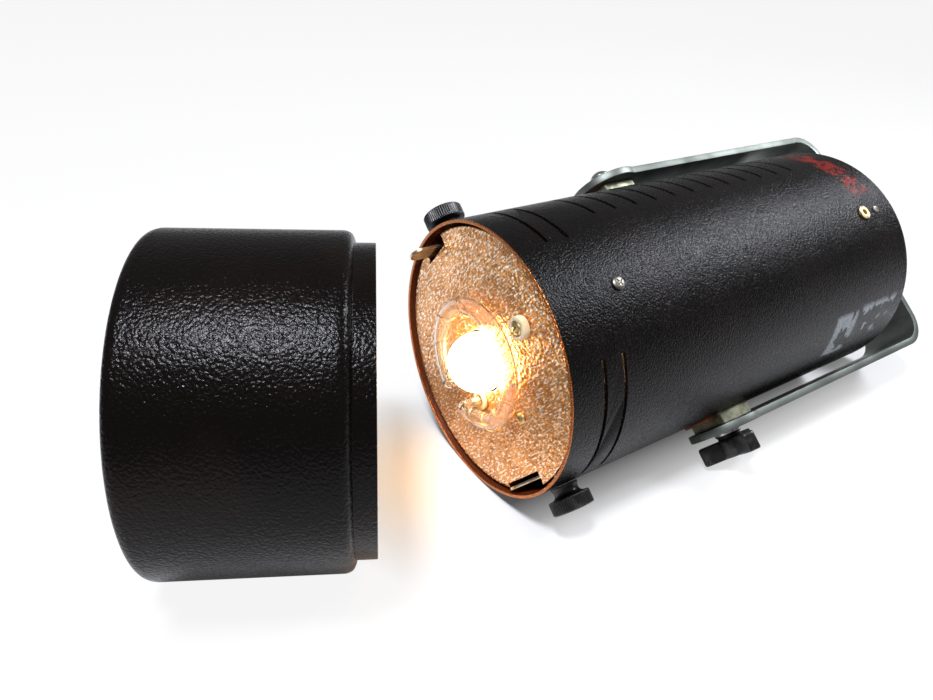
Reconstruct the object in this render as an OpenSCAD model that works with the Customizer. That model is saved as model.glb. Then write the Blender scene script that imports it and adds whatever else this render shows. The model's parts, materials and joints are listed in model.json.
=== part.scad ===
// Studio monolight: a round flash head lying on a table, with its drum hood taken off beside it.
// Millimetres. The origin is the centre of the head's mouth, on the tube's axis.
// +X runs back along the head, +Z is up, and the table is one tube radius below the origin.
// Each head piece is drawn with the head upright and is then rolled to the way the head lies.

/* [Head tube] */
// Outside diameter of the head tube
tube_od = 150; // [140:1:170]
// Thickness of the tube's sheet
tube_wall = 1.6; // [1.2:0.1:2.2]
// Length of the tube from the mouth rim to the rear seam
tube_len = 264; // [255:1:320]
// Width of every vent slot
vent_w = 2.2; // [1.5:0.1:4]
// Distance of the first front slot from the mouth rim
front_vent_x = 20; // [18:0.5:24]
// Distance between the two front slots
front_vent_pitch = 12.5; // [10:0.5:16]
// Distance of the first long slot from the mouth rim
vent_x = 61.6; // [58:0.2:64]
// Distance between the long slots
vent_pitch = 14.9; // [13:0.1:15]
// Number of long slots in each row
vent_count = 12; // [8:1:12]

/* [Rear] */
// Length of the rear cap past the seam
cap_len = 13.4; // [11:0.1:20]
// Depth of the control panel below the cap's rear edge
panel_recess = 5.4; // [4:0.1:7]
// Thickness of the control panel
panel_t = 2; // [1.5:0.1:3]
// Diameter of the output knob
output_knob_d = 26; // [20:1:30]
// Height of the output knob
output_knob_h = 14; // [10:1:18]
// Bore of the gland for the mains lead
gland_bore = 8; // [6:0.5:10]

/* [Mouth] */
// Distance of the reflector plate behind the mouth rim
plate_x = 2.5; // [2:0.1:4]
// Thickness of the reflector plate
plate_t = 1.2; // [0.8:0.1:1.6]
// Gap round the plate where an accessory's collar slips in
plate_gap = 2.2; // [2:0.1:3]
// Distance of the bulkhead behind the mouth rim
bulkhead_x = 56; // [54:0.5:58]
// Outside diameter of the ring flash tube
ring_od = 72; // [64:1:76]
// Diameter of the flash tube's glass
ring_glass_d = 9; // [7:0.5:10]
// Distance of the ring's centre plane in front of the mouth rim
ring_front = 3; // [2.5:0.1:5]
// Diameter of the modelling bulb
bulb_d = 32; // [26:1:36]
// Diameter of the bulb's neck
bulb_neck_d = 24; // [20:1:25]

/* [Clamps] */
// Distance of the thumbscrews behind the mouth rim
clamp_x = 17.5; // [17:0.5:20]
// Diameter of the knurled heads
knurl_d = 22.6; // [18:0.2:24]
// Height of the knurled heads
knurl_h = 7.4; // [6:0.1:9]
// Length of the neck under each knurled head
knurl_neck = 6.4; // [5:0.1:9]
// Diameter of the clamp screws
clamp_screw_d = 6; // [5:0.5:6]
// Length of a clamp tab from its screw to its rounded tip
tab_reach = 29.5; // [28:0.5:31]
// Width of a clamp tab
tab_w = 12; // [11:0.5:13]
// Turn of the lower tab away from straight forward
lower_tab_turn = 60; // [55:1:62]

/* [Yoke] */
// Distance of the yoke's pivots behind the mouth rim
pivot_x = 139; // [137:0.5:141]
// Gap between the tube and each yoke arm
yoke_gap = 6.2; // [6:0.1:9]
// Thickness of the yoke's flat bar
yoke_t = 4.5; // [3:0.1:6]
// Width of the yoke's flat bar
yoke_w = 40; // [32:1:44]
// Distance from the pivots to the yoke's outer end
yoke_reach = 197; // [190:1:225]
// Outside radius of the yoke's corners
yoke_corner = 20; // [12:1:28]
// Bore of the stand hole in the yoke
stand_bore = 10; // [8:0.5:12]
// Diameter of the pivot screws
pivot_screw_d = 8; // [6:0.5:10]

/* [Wing knob] */
// Reach of the wing knob's lobes from its axis
lobe_reach = 20.5; // [19:0.5:22]
// Width of each lobe
lobe_w = 9; // [8:0.5:11]
// Height of the lobes
lobe_h = 11; // [9:0.5:13]
// Turn of the wing knob, which sets how the head lies
wing_turn = 15; // [10:1:20]

/* [Hood] */
// How far the hood's drum stands out past the head's tube
hood_step = 3.5; // [2.5:0.5:10]
// Length of the hood's drum between its two shoulders
hood_drum = 87.6; // [60:0.2:110]
// Length of the collar that fits the mouth
collar_len = 9.4; // [8:0.1:12]
// Length of the small lip at the hood's front
lip_len = 6.5; // [4:0.5:8]
// Gap between the collar and the mouth
collar_gap = 0.4; // [0.3:0.05:0.6]
// Thickness of the hood's sheet
hood_wall = 1.3; // [1:0.1:1.5]
// Place of the centre of the hood's collar rim along the table
hood_at = [-63, -7];
// Turn of the hood on the table
hood_yaw = -27; // [-35:1:-20]
// Height of the lip that is left where it is open
lip_stub = 0.6;
lip_open = [0.42, 0.2];
lip_open_turn = -52.7;

/* [Hidden] */
$fn = 72;
UPPER = 1;
LOWER = -1;

// Clearances: a turning screw in its hole, a face that turns on another, and a loose fit
run_gap = 0.05;
face_gap = 0.25;
loose_gap = 0.3;
tiny = 0.01;

// The tube's radii and the planes along it
tube_r = tube_od / 2;
bore_r = tube_r - tube_wall;
rear_x = tube_len + cap_len;
panel_face = rear_x - panel_recess;
panel_x = panel_face - panel_t;
cap_lip = 5;
cap_spigot = 10;
cap_wall = 2;
panel_r = bore_r - 2 * cap_wall;

// The vents, as angles from the top towards the lower side
front_vent_from = 24;
front_vent_to = 78;
upper_vent_from = -80;
upper_vent_to = -34.5;
lower_vent_from = 84;
lower_vent_bracket = 103;
lower_vent_to = 135;

// The plate and what stands on it
plate_r = bore_r - plate_gap;
plate_back = plate_x + plate_t;
plate_hole_r = bulb_d / 2 + 1;
notch_depth = 7.4;
upper_notch = [-10, 12.5];
lower_notch = [-28, 5.8];
pillar_r = 3.5;
pillar_ring = 39.2;
pillar_angles = [70, 190, 310];
bulkhead_t = 1.5;
bulkhead_back = bulkhead_x + bulkhead_t;
holder_r = 20;
holder_len = 20;
bulb_cap_r = 13;

// The ring flash tube
glass_r = ring_glass_d / 2;
ring_r = ring_od / 2 - glass_r;
ring_x = -ring_front;
ring_gap_at = 165;
ring_gap_half = 17;
bush_r = 5.5;
leg_ring = plate_hole_r + 1.2 + bush_r;
leg_spread = 30;
leg_r = 3;
leg_end = plate_x + 14;
foot_x = ring_x - 1;
bush_front = ring_x + leg_r + 0.8;
bush_back = plate_back + 5;
wire_r = 0.4;
wire_gap_half = ring_gap_half + 12;

// The insulator that carries the trigger wire
insulator_at = 47;
trigger_coil_at = 0.6 * bore_r;
insulator_r = 6;
insulator_front = plate_x - 4;

// The clamps, as heights from the tube's axis
clamp_screw_r = clamp_screw_d / 2;
neck_r = 7.5;
knurl_from = tube_r + knurl_neck;
knurl_to = knurl_from + knurl_h;
tab_t = 1.6;
tab_out = bore_r - 5.8;
tab_in = tab_out - tab_t;
clamp_nut_t = 4;
clamp_nut_w = 11;
clamp_nut_out = tab_in - 0.1;
clamp_screw_in = clamp_nut_out - clamp_nut_t - 1.2;

// The pivots, as heights from the tube's axis
arm_in = tube_r + yoke_gap;
arm_out = arm_in + yoke_t;
pivot_r = pivot_screw_d / 2;
arm_end_r = yoke_w / 2 + 2;
pad_top = tube_r + 1.6;
pad_l = 30;
pad_w = 20;
pad_shift = -5;
block_l = 24;
block_w = 26;
block_top = arm_in - face_gap;
block_screw_x = pivot_x + block_l / 2 + 3.2;
nut_across = 1.6 * pivot_screw_d;
nut_t = 0.8 * pivot_screw_d;
nut_seat = sqrt(bore_r * bore_r - nut_across * nut_across / 3) - face_gap;
wing_shank_past = 4;
washer_t = 1.6;
washer_r = pivot_screw_d;
washer_in = arm_out + face_gap;
washer_out = washer_in + washer_t;
wing_neck = 2.6;
wing_from = washer_out + 0.1 + wing_neck;
wing_to = wing_from + lobe_h;
hub_r = 7;

// The head rolls on its belly until the lowest lobe of the wing knob stands on the table
lobe_tip_r = lobe_w / 2;
lobe_drop = (lobe_reach - lobe_tip_r) * sin(120 + wing_turn) + lobe_tip_r;
roll = asin(tube_r / sqrt(wing_to * wing_to + lobe_drop * lobe_drop)) - atan(lobe_drop / wing_to);

// The yoke
yoke_end = pivot_x + yoke_reach;

// The chassis and what it carries
tray_top = -14;
tray_t = 2;
tray_half = sqrt(panel_r * panel_r - pow(tray_top - tray_t, 2)) - loose_gap;
tray_end = panel_x - loose_gap;
tray_item_gap = 8;
capacitor_gap = 2;
capacitor_room = nut_seat - nut_t - wing_shank_past - loose_gap;
capacitor_r = (capacitor_room - capacitor_gap) / 3;
capacitor_pitch = 2 * capacitor_r + capacitor_gap;
capacitor_x = bulkhead_back + tray_item_gap;
capacitor_len = 0.538 * (panel_x - capacitor_x);
strap_t = 1.5;
strap_half = capacitor_pitch + capacitor_r + strap_t + loose_gap;
strap_w = 10;
core_size = [60, 40, 36];
core_leg = 20;
core_window = [12, 20];
coil_bulge = 7;
core_x = 130;
board_x = capacitor_x + capacitor_len + tray_item_gap;
frame_deep = 22;
board_size = [panel_x - frame_deep + panel_t - board_x, 104, 1.6];
board_can = [7, 14];
board_can_pitch = 23;
board_chip = [5, 12, 7];
board_relay = [16, 12, 12];
board_post = 8;
board_post_r = 3;

// The sync socket and the small screws along the head's top
sync_x = tube_len - 18;
sync_plug_d = 3.6;
sync_barrel_r = 3.4;
sync_flange_r = 6;
sync_flange_top = sqrt(bore_r * bore_r - sync_flange_r * sync_flange_r) - tiny;
sync_depth = 15;
sync_proud = 1.6;
front_screw_x = 42.4;
rear_screw_x = tube_len - 4.6;

// The controls on the panel, as places to the side and up from its centre
power_at = [-31, 26];
lamp_at = [-8, 26];
output_at = [28, 22];
button_at = [-20, 2];
ready_at = [4, 4];
fuse_at = [0.548 * panel_r, -0.432 * panel_r];
gland_at = [-12, -40];
panel_screw_ring = panel_r - cap_lip - 5;
rocker_half = 8;
rocker_w = 10;
rocker_tilt = 8;
rocker_bed = 6;
frame_half = [11, 7.5];
frame_body = [9.6, 6.2];
frame_rim = 1.2;
shaft_r = 3;
shaft_tip = 9;
button_r = 5;

// The hood
hood_r = tube_r + hood_step;
collar_r = bore_r - collar_gap;
lip_r = collar_r - 0.5;
shoulder = 4;
hood_z = hood_r - tube_r;

module lie() {
    rotate([roll, 0, 0]) children();
}

// Puts a child's Z axis outwards through one side of the tube, at a distance behind the mouth
module at_side(side, x) {
    lie() translate([x, 0, 0]) rotate([-90 * side, 0, 0]) children();
}

// Puts a child's Z axis outwards through the head's top
module at_top(x) {
    lie() translate([x, 0, 0]) children();
}

// Puts a child's Z axis along the head, at a radius and an angle from the top to the lower side
module at_plate(x, radius, angle) {
    lie() rotate([angle, 0, 0]) translate([x, 0, radius]) rotate([0, 90, 0]) children();
}

// Puts a child's Z axis out of the control panel's face
module at_panel(at) {
    lie() translate([panel_face, at[0], at[1]]) rotate([0, 90, 0]) children();
}

// A disc or drum along the head
module drum(x0, x1, r) {
    translate([x0, 0, 0]) rotate([0, 90, 0]) cylinder(h = x1 - x0, r = r);
}

// A washer-like ring along Z
module ring(z0, z1, r_out, r_in) {
    translate([0, 0, z0]) difference() {
        cylinder(h = z1 - z0, r = r_out);
        translate([0, 0, -1]) cylinder(h = z1 - z0 + 2, r = r_in);
    }
}

module plain(z0, z1, r) {
    translate([0, 0, z0]) cylinder(h = z1 - z0, r = r);
}

// A box centred on the Z axis
module block(size, z0) {
    translate([-size[0] / 2, -size[1] / 2, z0]) cube(size);
}

// Turns a profile about the head's axis, between two angles from the top towards the lower side
module arc(x, from, to) {
    translate([x, 0, 0]) rotate([from, 0, 0]) rotate([0, 90, 0]) rotate([0, 0, 180])
        rotate_extrude(angle = to - from) children();
}

// A slot through the tube's wall
module vent(x, from, to) {
    arc(x, from, to) translate([bore_r - 2, -vent_w / 2]) square([tube_wall + 4, vent_w]);
}

function near_pivot(x) = abs(x - pivot_x) < pad_l / 2 - pad_shift + vent_w + 2;

module tube_shell() color([0.07, 0.06, 0.06]) lie() difference() {
    drum(0, tube_len, tube_r);
    drum(-1, tube_len + 1, bore_r);
    for (i = [0, 1]) {
        vent(front_vent_x + i * front_vent_pitch, front_vent_from, front_vent_to);
        vent(front_vent_x + i * front_vent_pitch, -front_vent_to, -front_vent_from);
    }
    for (i = [0 : vent_count - 1]) {
        x = vent_x + i * vent_pitch;
        vent(x, upper_vent_from, upper_vent_to);
        vent(x, near_pivot(x) ? lower_vent_bracket : lower_vent_from, lower_vent_to);
    }
    for (side = [-90, 90]) {
        translate([clamp_x, 0, 0]) rotate([side, 0, 0]) cylinder(h = tube_r + 1, r = clamp_screw_r + 0.2);
        translate([pivot_x, 0, 0]) rotate([side, 0, 0]) cylinder(h = tube_r + 1, r = pivot_r + 0.2);
        translate([block_screw_x, 0, 0]) rotate([side, 0, 0]) cylinder(h = tube_r + 1, r = 1.6);
    }
    translate([sync_x, 0, 0]) cylinder(h = tube_r + 1, r = sync_barrel_r + 0.1);
    for (x = [front_screw_x, rear_screw_x]) translate([x, 0, 0]) cylinder(h = tube_r + 1, r = 1.6);
}

module rear_cap() color([0.08, 0.07, 0.07]) lie() difference() {
    union() {
        drum(tube_len, rear_x, tube_r);
        drum(tube_len - cap_spigot, tube_len + 1, bore_r - 0.1);
    }
    drum(tube_len - cap_spigot - 1, panel_face, panel_r + 0.2);
    drum(panel_face - 1, rear_x + 1, panel_r + 0.2 - cap_lip);
    translate([rear_screw_x, 0, 0]) cylinder(h = tube_r + 1, r = 1.6);
}

module panel_hole(at, r) {
    translate([0, at[0], at[1]]) drum(panel_x - 1, panel_face + 1, r);
}

module rear_panel() color([0.16, 0.16, 0.17]) lie() difference() {
    drum(panel_x, panel_face - 0.05, panel_r);
    for (at = [power_at, lamp_at])
        translate([panel_x - 1, at[0] - frame_body[1] - loose_gap, at[1] - frame_body[0] - loose_gap])
            cube([panel_t + 2, 2 * (frame_body[1] + loose_gap), 2 * (frame_body[0] + loose_gap)]);
    panel_hole(output_at, 4.6);
    panel_hole(button_at, button_r + 1.5);
    panel_hole(ready_at, 3.2);
    panel_hole(fuse_at, 6.2);
    panel_hole(gland_at, gland_bore / 2 + 2.2);
    for (a = [45 : 90 : 315]) rotate([a, 0, 0]) panel_hole([0, -panel_screw_ring], 1.7);
}

module panel_screws() color("silver") for (a = [45 : 90 : 315]) lie() rotate([a, 0, 0])
    translate([panel_face, 0, -panel_screw_ring]) rotate([0, 90, 0]) {
        plain(-panel_t - 5, 0.1, 1.5);
        plain(tiny, 1.8, 3);
    }

module bulkhead() color([0.6, 0.6, 0.6]) lie() difference() {
    drum(bulkhead_x, bulkhead_back, bore_r - loose_gap);
    drum(bulkhead_x - 1, bulkhead_back + 1, 6);
}

module reflector_plate() color([0.85, 0.78, 0.65]) lie() difference() {
    drum(plate_x, plate_back, plate_r);
    drum(plate_x - 1, plate_back + 1, plate_hole_r);
    translate([plate_x - 1, plate_r - notch_depth, upper_notch[0]])
        cube([plate_t + 2, notch_depth + 2, upper_notch[1] - upper_notch[0]]);
    translate([plate_x - 1, -plate_r - 2, lower_notch[0]])
        cube([plate_t + 2, notch_depth + 2, lower_notch[1] - lower_notch[0]]);
    for (side = [-1, 1]) rotate([ring_gap_at + side * leg_spread, 0, 0]) translate([0, 0, leg_ring])
        drum(plate_x - 1, plate_back + 1, bush_r - 1.4);
    rotate([pillar_angles[0], 0, 0]) translate([0, 0, pillar_ring]) drum(plate_x - 1, plate_back + 1, 1.7);
    translate([0, 0, insulator_at]) drum(plate_x - 1, plate_back + 1, 1.7);
}

module plate_pillars() color("silver") for (a = pillar_angles) at_plate(plate_back, pillar_ring, a)
    ring(tiny, bulkhead_x - plate_back - tiny, pillar_r, 1.3);

module plate_screw() color("silver") at_plate(plate_x, pillar_ring, pillar_angles[0]) {
    plain(-1.8, -tiny, 2.8);
    plain(-0.1, plate_t + 8, 1.25);
}

// The ring's closed end points and the places where its legs pass the plate
function around(radius, angle, x) = [x, -radius * sin(angle), radius * cos(angle)];

module rod(p, q, r) {
    d = q - p;
    translate(p) rotate([0, acos(d[2] / norm(d)), atan2(d[1], d[0])]) cylinder(h = norm(d), r = r);
}

module flash_tube() color([0.95, 0.9, 0.8, 0.5]) lie() {
    arc(ring_x, ring_gap_at + ring_gap_half, ring_gap_at - ring_gap_half + 360)
        translate([ring_r, 0]) circle(r = glass_r);
    for (side = [-1, 1]) {
        end = around(ring_r, ring_gap_at + side * ring_gap_half, ring_x);
        foot = around(leg_ring, ring_gap_at + side * leg_spread, foot_x);
        translate(end) sphere(r = glass_r + 0.3);
        rod(end, foot, leg_r);
        translate(foot) sphere(r = leg_r + 0.15);
        rod(foot, around(leg_ring, ring_gap_at + side * leg_spread, leg_end), leg_r);
    }
}

module electrode_bushes() color([0.93, 0.86, 0.72]) for (side = [-1, 1])
    at_plate(0, leg_ring, ring_gap_at + side * leg_spread) {
        ring(bush_front, plate_x - tiny, bush_r, leg_r + 0.2);
        ring(plate_x - 0.1, bush_back, bush_r - 1.5, leg_r + 0.2);
    }

module trigger_insulator() color([0.93, 0.86, 0.72]) at_plate(0, insulator_at, 0) difference() {
    plain(insulator_front, plate_x - tiny, insulator_r);
    plain(insulator_front - 1, insulator_front + 1.2, insulator_r - 2.2);
    plain(insulator_front, plate_x + 1, 1.7);
}

module insulator_screw() color("silver") at_plate(0, insulator_at, 0) {
    plain(insulator_front - 0.9, insulator_front + 1.2 - tiny, 3.4);
    plain(insulator_front, plate_back + 6, 1.5);
}

module trigger_wire() color([0.8, 0.65, 0.4]) lie() {
    wire_x = ring_x - glass_r - wire_r - face_gap;
    arc(wire_x, ring_gap_at + wire_gap_half, ring_gap_at - wire_gap_half + 360, $fn = 48)
        translate([ring_r, 0]) circle(r = wire_r);
    corner = [wire_x, 0, ring_r + glass_r + 1];
    translate([wire_x, 0, ring_r]) sphere(r = wire_r + 0.2);
    rod([wire_x, 0, ring_r], corner, wire_r);
    translate(corner) sphere(r = wire_r + 0.2);
    rod(corner, [insulator_front - 0.9 - wire_r - run_gap, 0, insulator_at - 1], wire_r);
}

module modelling_bulb() color([1, 0.97, 0.88]) lie() {
    sphere(r = bulb_d / 2);
    drum(0, bulkhead_x - holder_len + 2, bulb_neck_d / 2);
}

module bulb_cap() color("silver") lie() drum(bulkhead_x - holder_len + 2.02, bulkhead_x - 3, bulb_cap_r);

module lamp_holder() color([0.92, 0.9, 0.84]) lie() difference() {
    drum(bulkhead_x - holder_len, bulkhead_x - tiny, holder_r);
    drum(bulkhead_x - holder_len - 1, bulkhead_x - 2.9, bulb_cap_r + 0.1);
}

module chassis_tray() color([0.62, 0.63, 0.64]) lie()
    translate([bulkhead_back + tiny, -tray_half, tray_top - tray_t])
        cube([tray_end - bulkhead_back - tiny, 2 * tray_half, tray_t]);

module capacitors() color([0.2, 0.25, 0.45]) for (i = [-1 : 1]) lie()
    translate([0, i * capacitor_pitch, tray_top + capacitor_r + tiny]) {
        drum(capacitor_x, capacitor_x + capacitor_len, capacitor_r);
        for (side = [-1, 1]) translate([0, side * 8, 0]) drum(capacitor_x - 4, capacitor_x + 1, 3);
    }

module capacitor_strap() color("silver") lie() {
    strap_x = capacitor_x + 0.75 * (pivot_x - pivot_r - strap_w - capacitor_x);
    strap_z = tray_top + 2 * capacitor_r + 0.1;
    translate([strap_x, -strap_half, strap_z]) cube([strap_w, 2 * strap_half, strap_t]);
    for (y = [-strap_half, strap_half - strap_t]) translate([strap_x, y, tray_top + tiny])
        cube([strap_w, strap_t, strap_z - tray_top + 1]);
}

module core_place() {
    lie() translate([core_x, 0, tray_top - tray_t - core_size[2] / 2 - tiny]) children();
}

module transformer_core() color([0.3, 0.3, 0.32]) core_place() difference() {
    cube(core_size, center = true);
    for (side = [-1, 1]) translate([side * (core_leg + core_window[0]) / 2, 0, 0])
        cube([core_window[0], core_size[1] + 2, core_window[1]], center = true);
}

module transformer_coil() color([0.7, 0.4, 0.2]) core_place() difference() {
    coil_box = [core_leg + 2 * core_window[0] - 0.4, core_size[1] + 2 * coil_bulge, core_window[1] - 0.4];
    cube(coil_box, center = true);
    cube([core_leg + 0.2, core_size[1] + 0.2, core_size[2]], center = true);
}

module board_corners() {
    for (dx = [5, board_size[0] - 5], dy = [-1, 1])
        lie() translate([board_x + dx, dy * (board_size[1] / 2 - 5), tray_top]) children();
}

module circuit_board() color([0.15, 0.4, 0.2]) difference() {
    lie() translate([board_x, -board_size[1] / 2, tray_top + board_post + 2 * tiny]) cube(board_size);
    board_corners() cylinder(h = 20, r = 1.6);
}

module board_standoffs() color("silver") board_corners() ring(tiny, board_post, board_post_r, 1.3);

module board_parts() color([0.3, 0.3, 0.3]) lie()
    translate([board_x, 0, tray_top + board_post + board_size[2] + 3 * tiny]) {
        for (i = [-1.5, -0.5, 0.5]) translate([0.3 * board_size[0], i * board_can_pitch, 0])
            cylinder(h = board_can[1], r = board_can[0]);
        for (i = [-1.3, 0, 1.3]) translate([0.58 * board_size[0], i * board_can_pitch - board_chip[1] / 2, 0])
            cube(board_chip);
        translate([0.2 * board_size[0], board_can_pitch, 0]) cube(board_relay);
    }

module trigger_coil() color([0.75, 0.55, 0.3]) at_plate(0, trigger_coil_at, 140)
    plain(bulkhead_x - 22, bulkhead_x - tiny, 8);

module sync_socket() color([0.8, 0.72, 0.5]) at_top(sync_x) difference() {
    union() {
        plain(tube_r - sync_depth, tube_r + sync_proud, sync_barrel_r);
        plain(sync_flange_top - 3.5, sync_flange_top, sync_flange_r);
    }
    plain(tube_r - sync_depth + 1.5, tube_r + sync_proud + 1, sync_plug_d / 2);
}

module sync_nut() color([0.82, 0.76, 0.6]) at_top(sync_x)
    ring(tube_r + tiny, tube_r + sync_proud - 0.2, 4.2, sync_barrel_r + 0.05);

module top_screws() color("silver") {
    for (x = [front_screw_x, rear_screw_x]) at_top(x) plain(tube_r - 5, tube_r + 0.5, 1.5);
    at_top(front_screw_x) plain(tube_r + tiny, tube_r + 1.6, 3.4);
    at_top(rear_screw_x) plain(tube_r + tiny, tube_r + 1.2, 2.6);
}

// A block between the tube and a yoke arm, hollowed to sit on the pad and the tube
module pivot_block(side) at_side(side, pivot_x) difference() {
    block([block_l, block_w, block_top - tube_r + 4], tube_r - 4);
    rotate([0, 90, 0]) cylinder(h = 2 * pad_l, r = tube_r + 0.02, center = true, $fn = 360);
    block([pad_l, pad_w + 0.2, pad_top + 0.05], 0);
    plain(0, arm_out, pivot_r + run_gap);
}

module pivot_block_upper() color([0.62, 0.64, 0.56]) pivot_block(UPPER);

module pivot_block_lower() color([0.62, 0.64, 0.56]) pivot_block(LOWER);

module fibre_pad(side) at_side(side, pivot_x) difference() {
    translate([pad_shift, 0, 0]) block([pad_l, pad_w, pad_top - tube_r + 3], tube_r - 3);
    rotate([0, 90, 0]) cylinder(h = 2 * pad_l, r = tube_r + 0.02, center = true, $fn = 360);
    plain(0, arm_out, pivot_r + run_gap);
}

module fibre_pads() color([0.45, 0.2, 0.08]) {
    fibre_pad(UPPER);
    fibre_pad(LOWER);
}

module pivot_block_screws() color("silver") for (side = [UPPER, LOWER])
    at_side(side, block_screw_x) {
        plain(tube_r + tiny, tube_r + 2.4, 2.9);
        plain(tube_r - 5, tube_r + 0.5, 1.5);
    }

module pivot_nuts() color("silver") for (side = [UPPER, LOWER]) at_side(side, pivot_x) difference() {
    translate([0, 0, nut_seat - nut_t]) cylinder(h = nut_t, r = nut_across / sqrt(3), $fn = 6);
    plain(0, arm_out, pivot_r + run_gap);
}

module pivot_bolt() color([0.85, 0.86, 0.86]) at_side(UPPER, pivot_x) {
    plain(nut_seat - nut_t - 2, washer_out + 1, pivot_r);
    hex_top = washer_out + 0.5 * pivot_screw_d;
    translate([0, 0, washer_out + tiny]) cylinder(h = hex_top - washer_out, r = 0.93 * pivot_screw_d, $fn = 6);
    intersection() {
        plain(hex_top, washer_out + pivot_screw_d, pivot_screw_d);
        translate([0, 0, washer_out - 0.18 * pivot_screw_d]) sphere(r = pivot_screw_d);
    }
}

module pivot_bolt_washer() color("silver") at_side(UPPER, pivot_x)
    ring(washer_in, washer_out, washer_r + 1, pivot_r + run_gap);

// The yoke's outline seen from the head's top, as a rectangle with two round rear corners
module yoke_outline(half, end, corner) {
    translate([pivot_x, -half]) square([end - corner - pivot_x, 2 * half]);
    translate([pivot_x, -half + corner]) square([end - pivot_x, 2 * (half - corner)]);
    for (side = [-1, 1]) translate([end - corner, side * (half - corner)]) circle(r = corner);
}

module yoke() color([0.62, 0.66, 0.64]) lie() difference() {
    union() {
        translate([0, 0, -yoke_w / 2]) linear_extrude(yoke_w) difference() {
            yoke_outline(arm_out, yoke_end, yoke_corner);
            translate([-1, 0]) yoke_outline(arm_in, yoke_end - yoke_t + 1, yoke_corner - yoke_t);
        }
        for (side = [UPPER, LOWER]) translate([pivot_x, 0, 0]) rotate([-90 * side, 0, 0])
            plain(arm_in, arm_out, arm_end_r);
    }
    translate([pivot_x, 0, 0]) rotate([90, 0, 0])
        cylinder(h = 2 * arm_out + 2, r = pivot_r + run_gap, center = true);
    drum(yoke_end - yoke_t - 2, yoke_end + 1, stand_bore / 2);
}

module tilt_washer() color([0.7, 0.7, 0.7]) at_side(LOWER, pivot_x)
    ring(washer_in, washer_out, washer_r, pivot_r + run_gap);

// A hub with three lobes; the first points back and a little down
module wing_knob() color([0.09, 0.09, 0.09]) at_side(LOWER, pivot_x) difference() {
    union() {
        plain(washer_out + 0.1, wing_from + 1, hub_r);
        rotate([0, 0, 60 - wing_turn]) plain(wing_from, wing_to, hub_r + 1);
        for (i = [0 : 2]) rotate([0, 0, -wing_turn + 120 * i]) {
            translate([0, -lobe_w / 2, wing_from]) cube([lobe_reach - lobe_tip_r, lobe_w, lobe_h]);
            translate([lobe_reach - lobe_tip_r, 0, wing_from]) cylinder(h = lobe_h, r = lobe_tip_r);
        }
    }
    plain(0, wing_to - 3, pivot_r + tiny);
}

module wing_screw() color("silver") at_side(LOWER, pivot_x)
    plain(nut_seat - nut_t - wing_shank_past, wing_to - 3.1, pivot_r);

module thumbscrew(side) at_side(side, clamp_x) difference() {
    union() {
        plain(tube_r + face_gap, knurl_from + 1, neck_r);
        plain(knurl_from, knurl_to, knurl_d / 2);
    }
    plain(0, knurl_to - 2, clamp_screw_r + tiny);
}

module thumbscrew_upper() color([0.1, 0.1, 0.1]) thumbscrew(UPPER);

module thumbscrew_lower() color([0.1, 0.1, 0.1]) thumbscrew(LOWER);

module clamp_screw(side) at_side(side, clamp_x) plain(clamp_screw_in, knurl_to - 2.1, clamp_screw_r);

module clamp_screw_upper() color("silver") clamp_screw(UPPER);

module clamp_screw_lower() color("silver") clamp_screw(LOWER);

module clamp_nut(side) at_side(side, clamp_x) difference() {
    block([clamp_nut_w, clamp_nut_w, clamp_nut_t], clamp_nut_out - clamp_nut_t);
    plain(0, tube_r, clamp_screw_r + run_gap);
}

module clamp_nut_upper() color("silver") clamp_nut(UPPER);

module clamp_nut_lower() color("silver") clamp_nut(LOWER);

// A flat tab with round ends, turned about its screw from straight forward
module clamp_tab(side, turn) at_side(side, clamp_x) rotate([0, 0, turn]) difference() {
    union() {
        translate([tab_w / 2 - tab_reach, -tab_w / 2, tab_in]) cube([tab_reach - tab_w / 2, tab_w, tab_t]);
        for (x = [tab_w / 2 - tab_reach, 0]) translate([x, 0, 0]) plain(tab_in, tab_out, tab_w / 2);
    }
    plain(0, tube_r, clamp_screw_r + 0.2);
}

module clamp_tab_upper() color([0.85, 0.8, 0.7]) clamp_tab(UPPER, 0);

module clamp_tab_lower() color([0.85, 0.8, 0.7]) clamp_tab(LOWER, lower_tab_turn);

// A rocker, pressed in at its lower end
module rocker(at) {
    rim = [[rocker_half, -2.4], [rocker_half, 3.4], [0, 2.2], [-rocker_half, 3.4], [-rocker_half, -2.4]];
    at_panel(at) translate([0, 0, -1]) rotate([0, rocker_tilt, 0]) rotate([90, 0, 0])
        linear_extrude(rocker_w, center = true) polygon(rim);
}

module power_rocker() color([0.6, 0.1, 0.08]) rocker(power_at);

module lamp_rocker() color([0.08, 0.08, 0.08]) rocker(lamp_at);

module switch_frames() color([0.05, 0.05, 0.05]) for (at = [power_at, lamp_at]) at_panel(at) difference() {
    union() {
        block([2 * frame_half[0], 2 * frame_half[1], frame_rim], tiny);
        block([2 * frame_body[0], 2 * frame_body[1], frame_deep + 0.5], -frame_deep);
    }
    block([2 * rocker_half + 2, rocker_w + 0.6, rocker_bed + frame_rim + 1], -rocker_bed);
}

module output_control() color("silver") at_panel(output_at) difference() {
    union() {
        plain(-16, -panel_t - tiny, 8);
        plain(-panel_t - 1, 3, 4.4);
    }
    plain(-12, 4, shaft_r + run_gap);
}

// A knob on its shaft, with a raised pointer
module output_knob() color([0.1, 0.1, 0.1]) at_panel(output_at) {
    plain(-11.8, shaft_tip, shaft_r);
    difference() {
        union() {
            plain(3.4, output_knob_h, output_knob_d / 2 - 1.5);
            plain(3.4, 6, output_knob_d / 2);
            block([output_knob_d - 4, 4, output_knob_h + 1.5 - 5], 5);
        }
        plain(0, shaft_tip - 1, shaft_r);
    }
}

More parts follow.
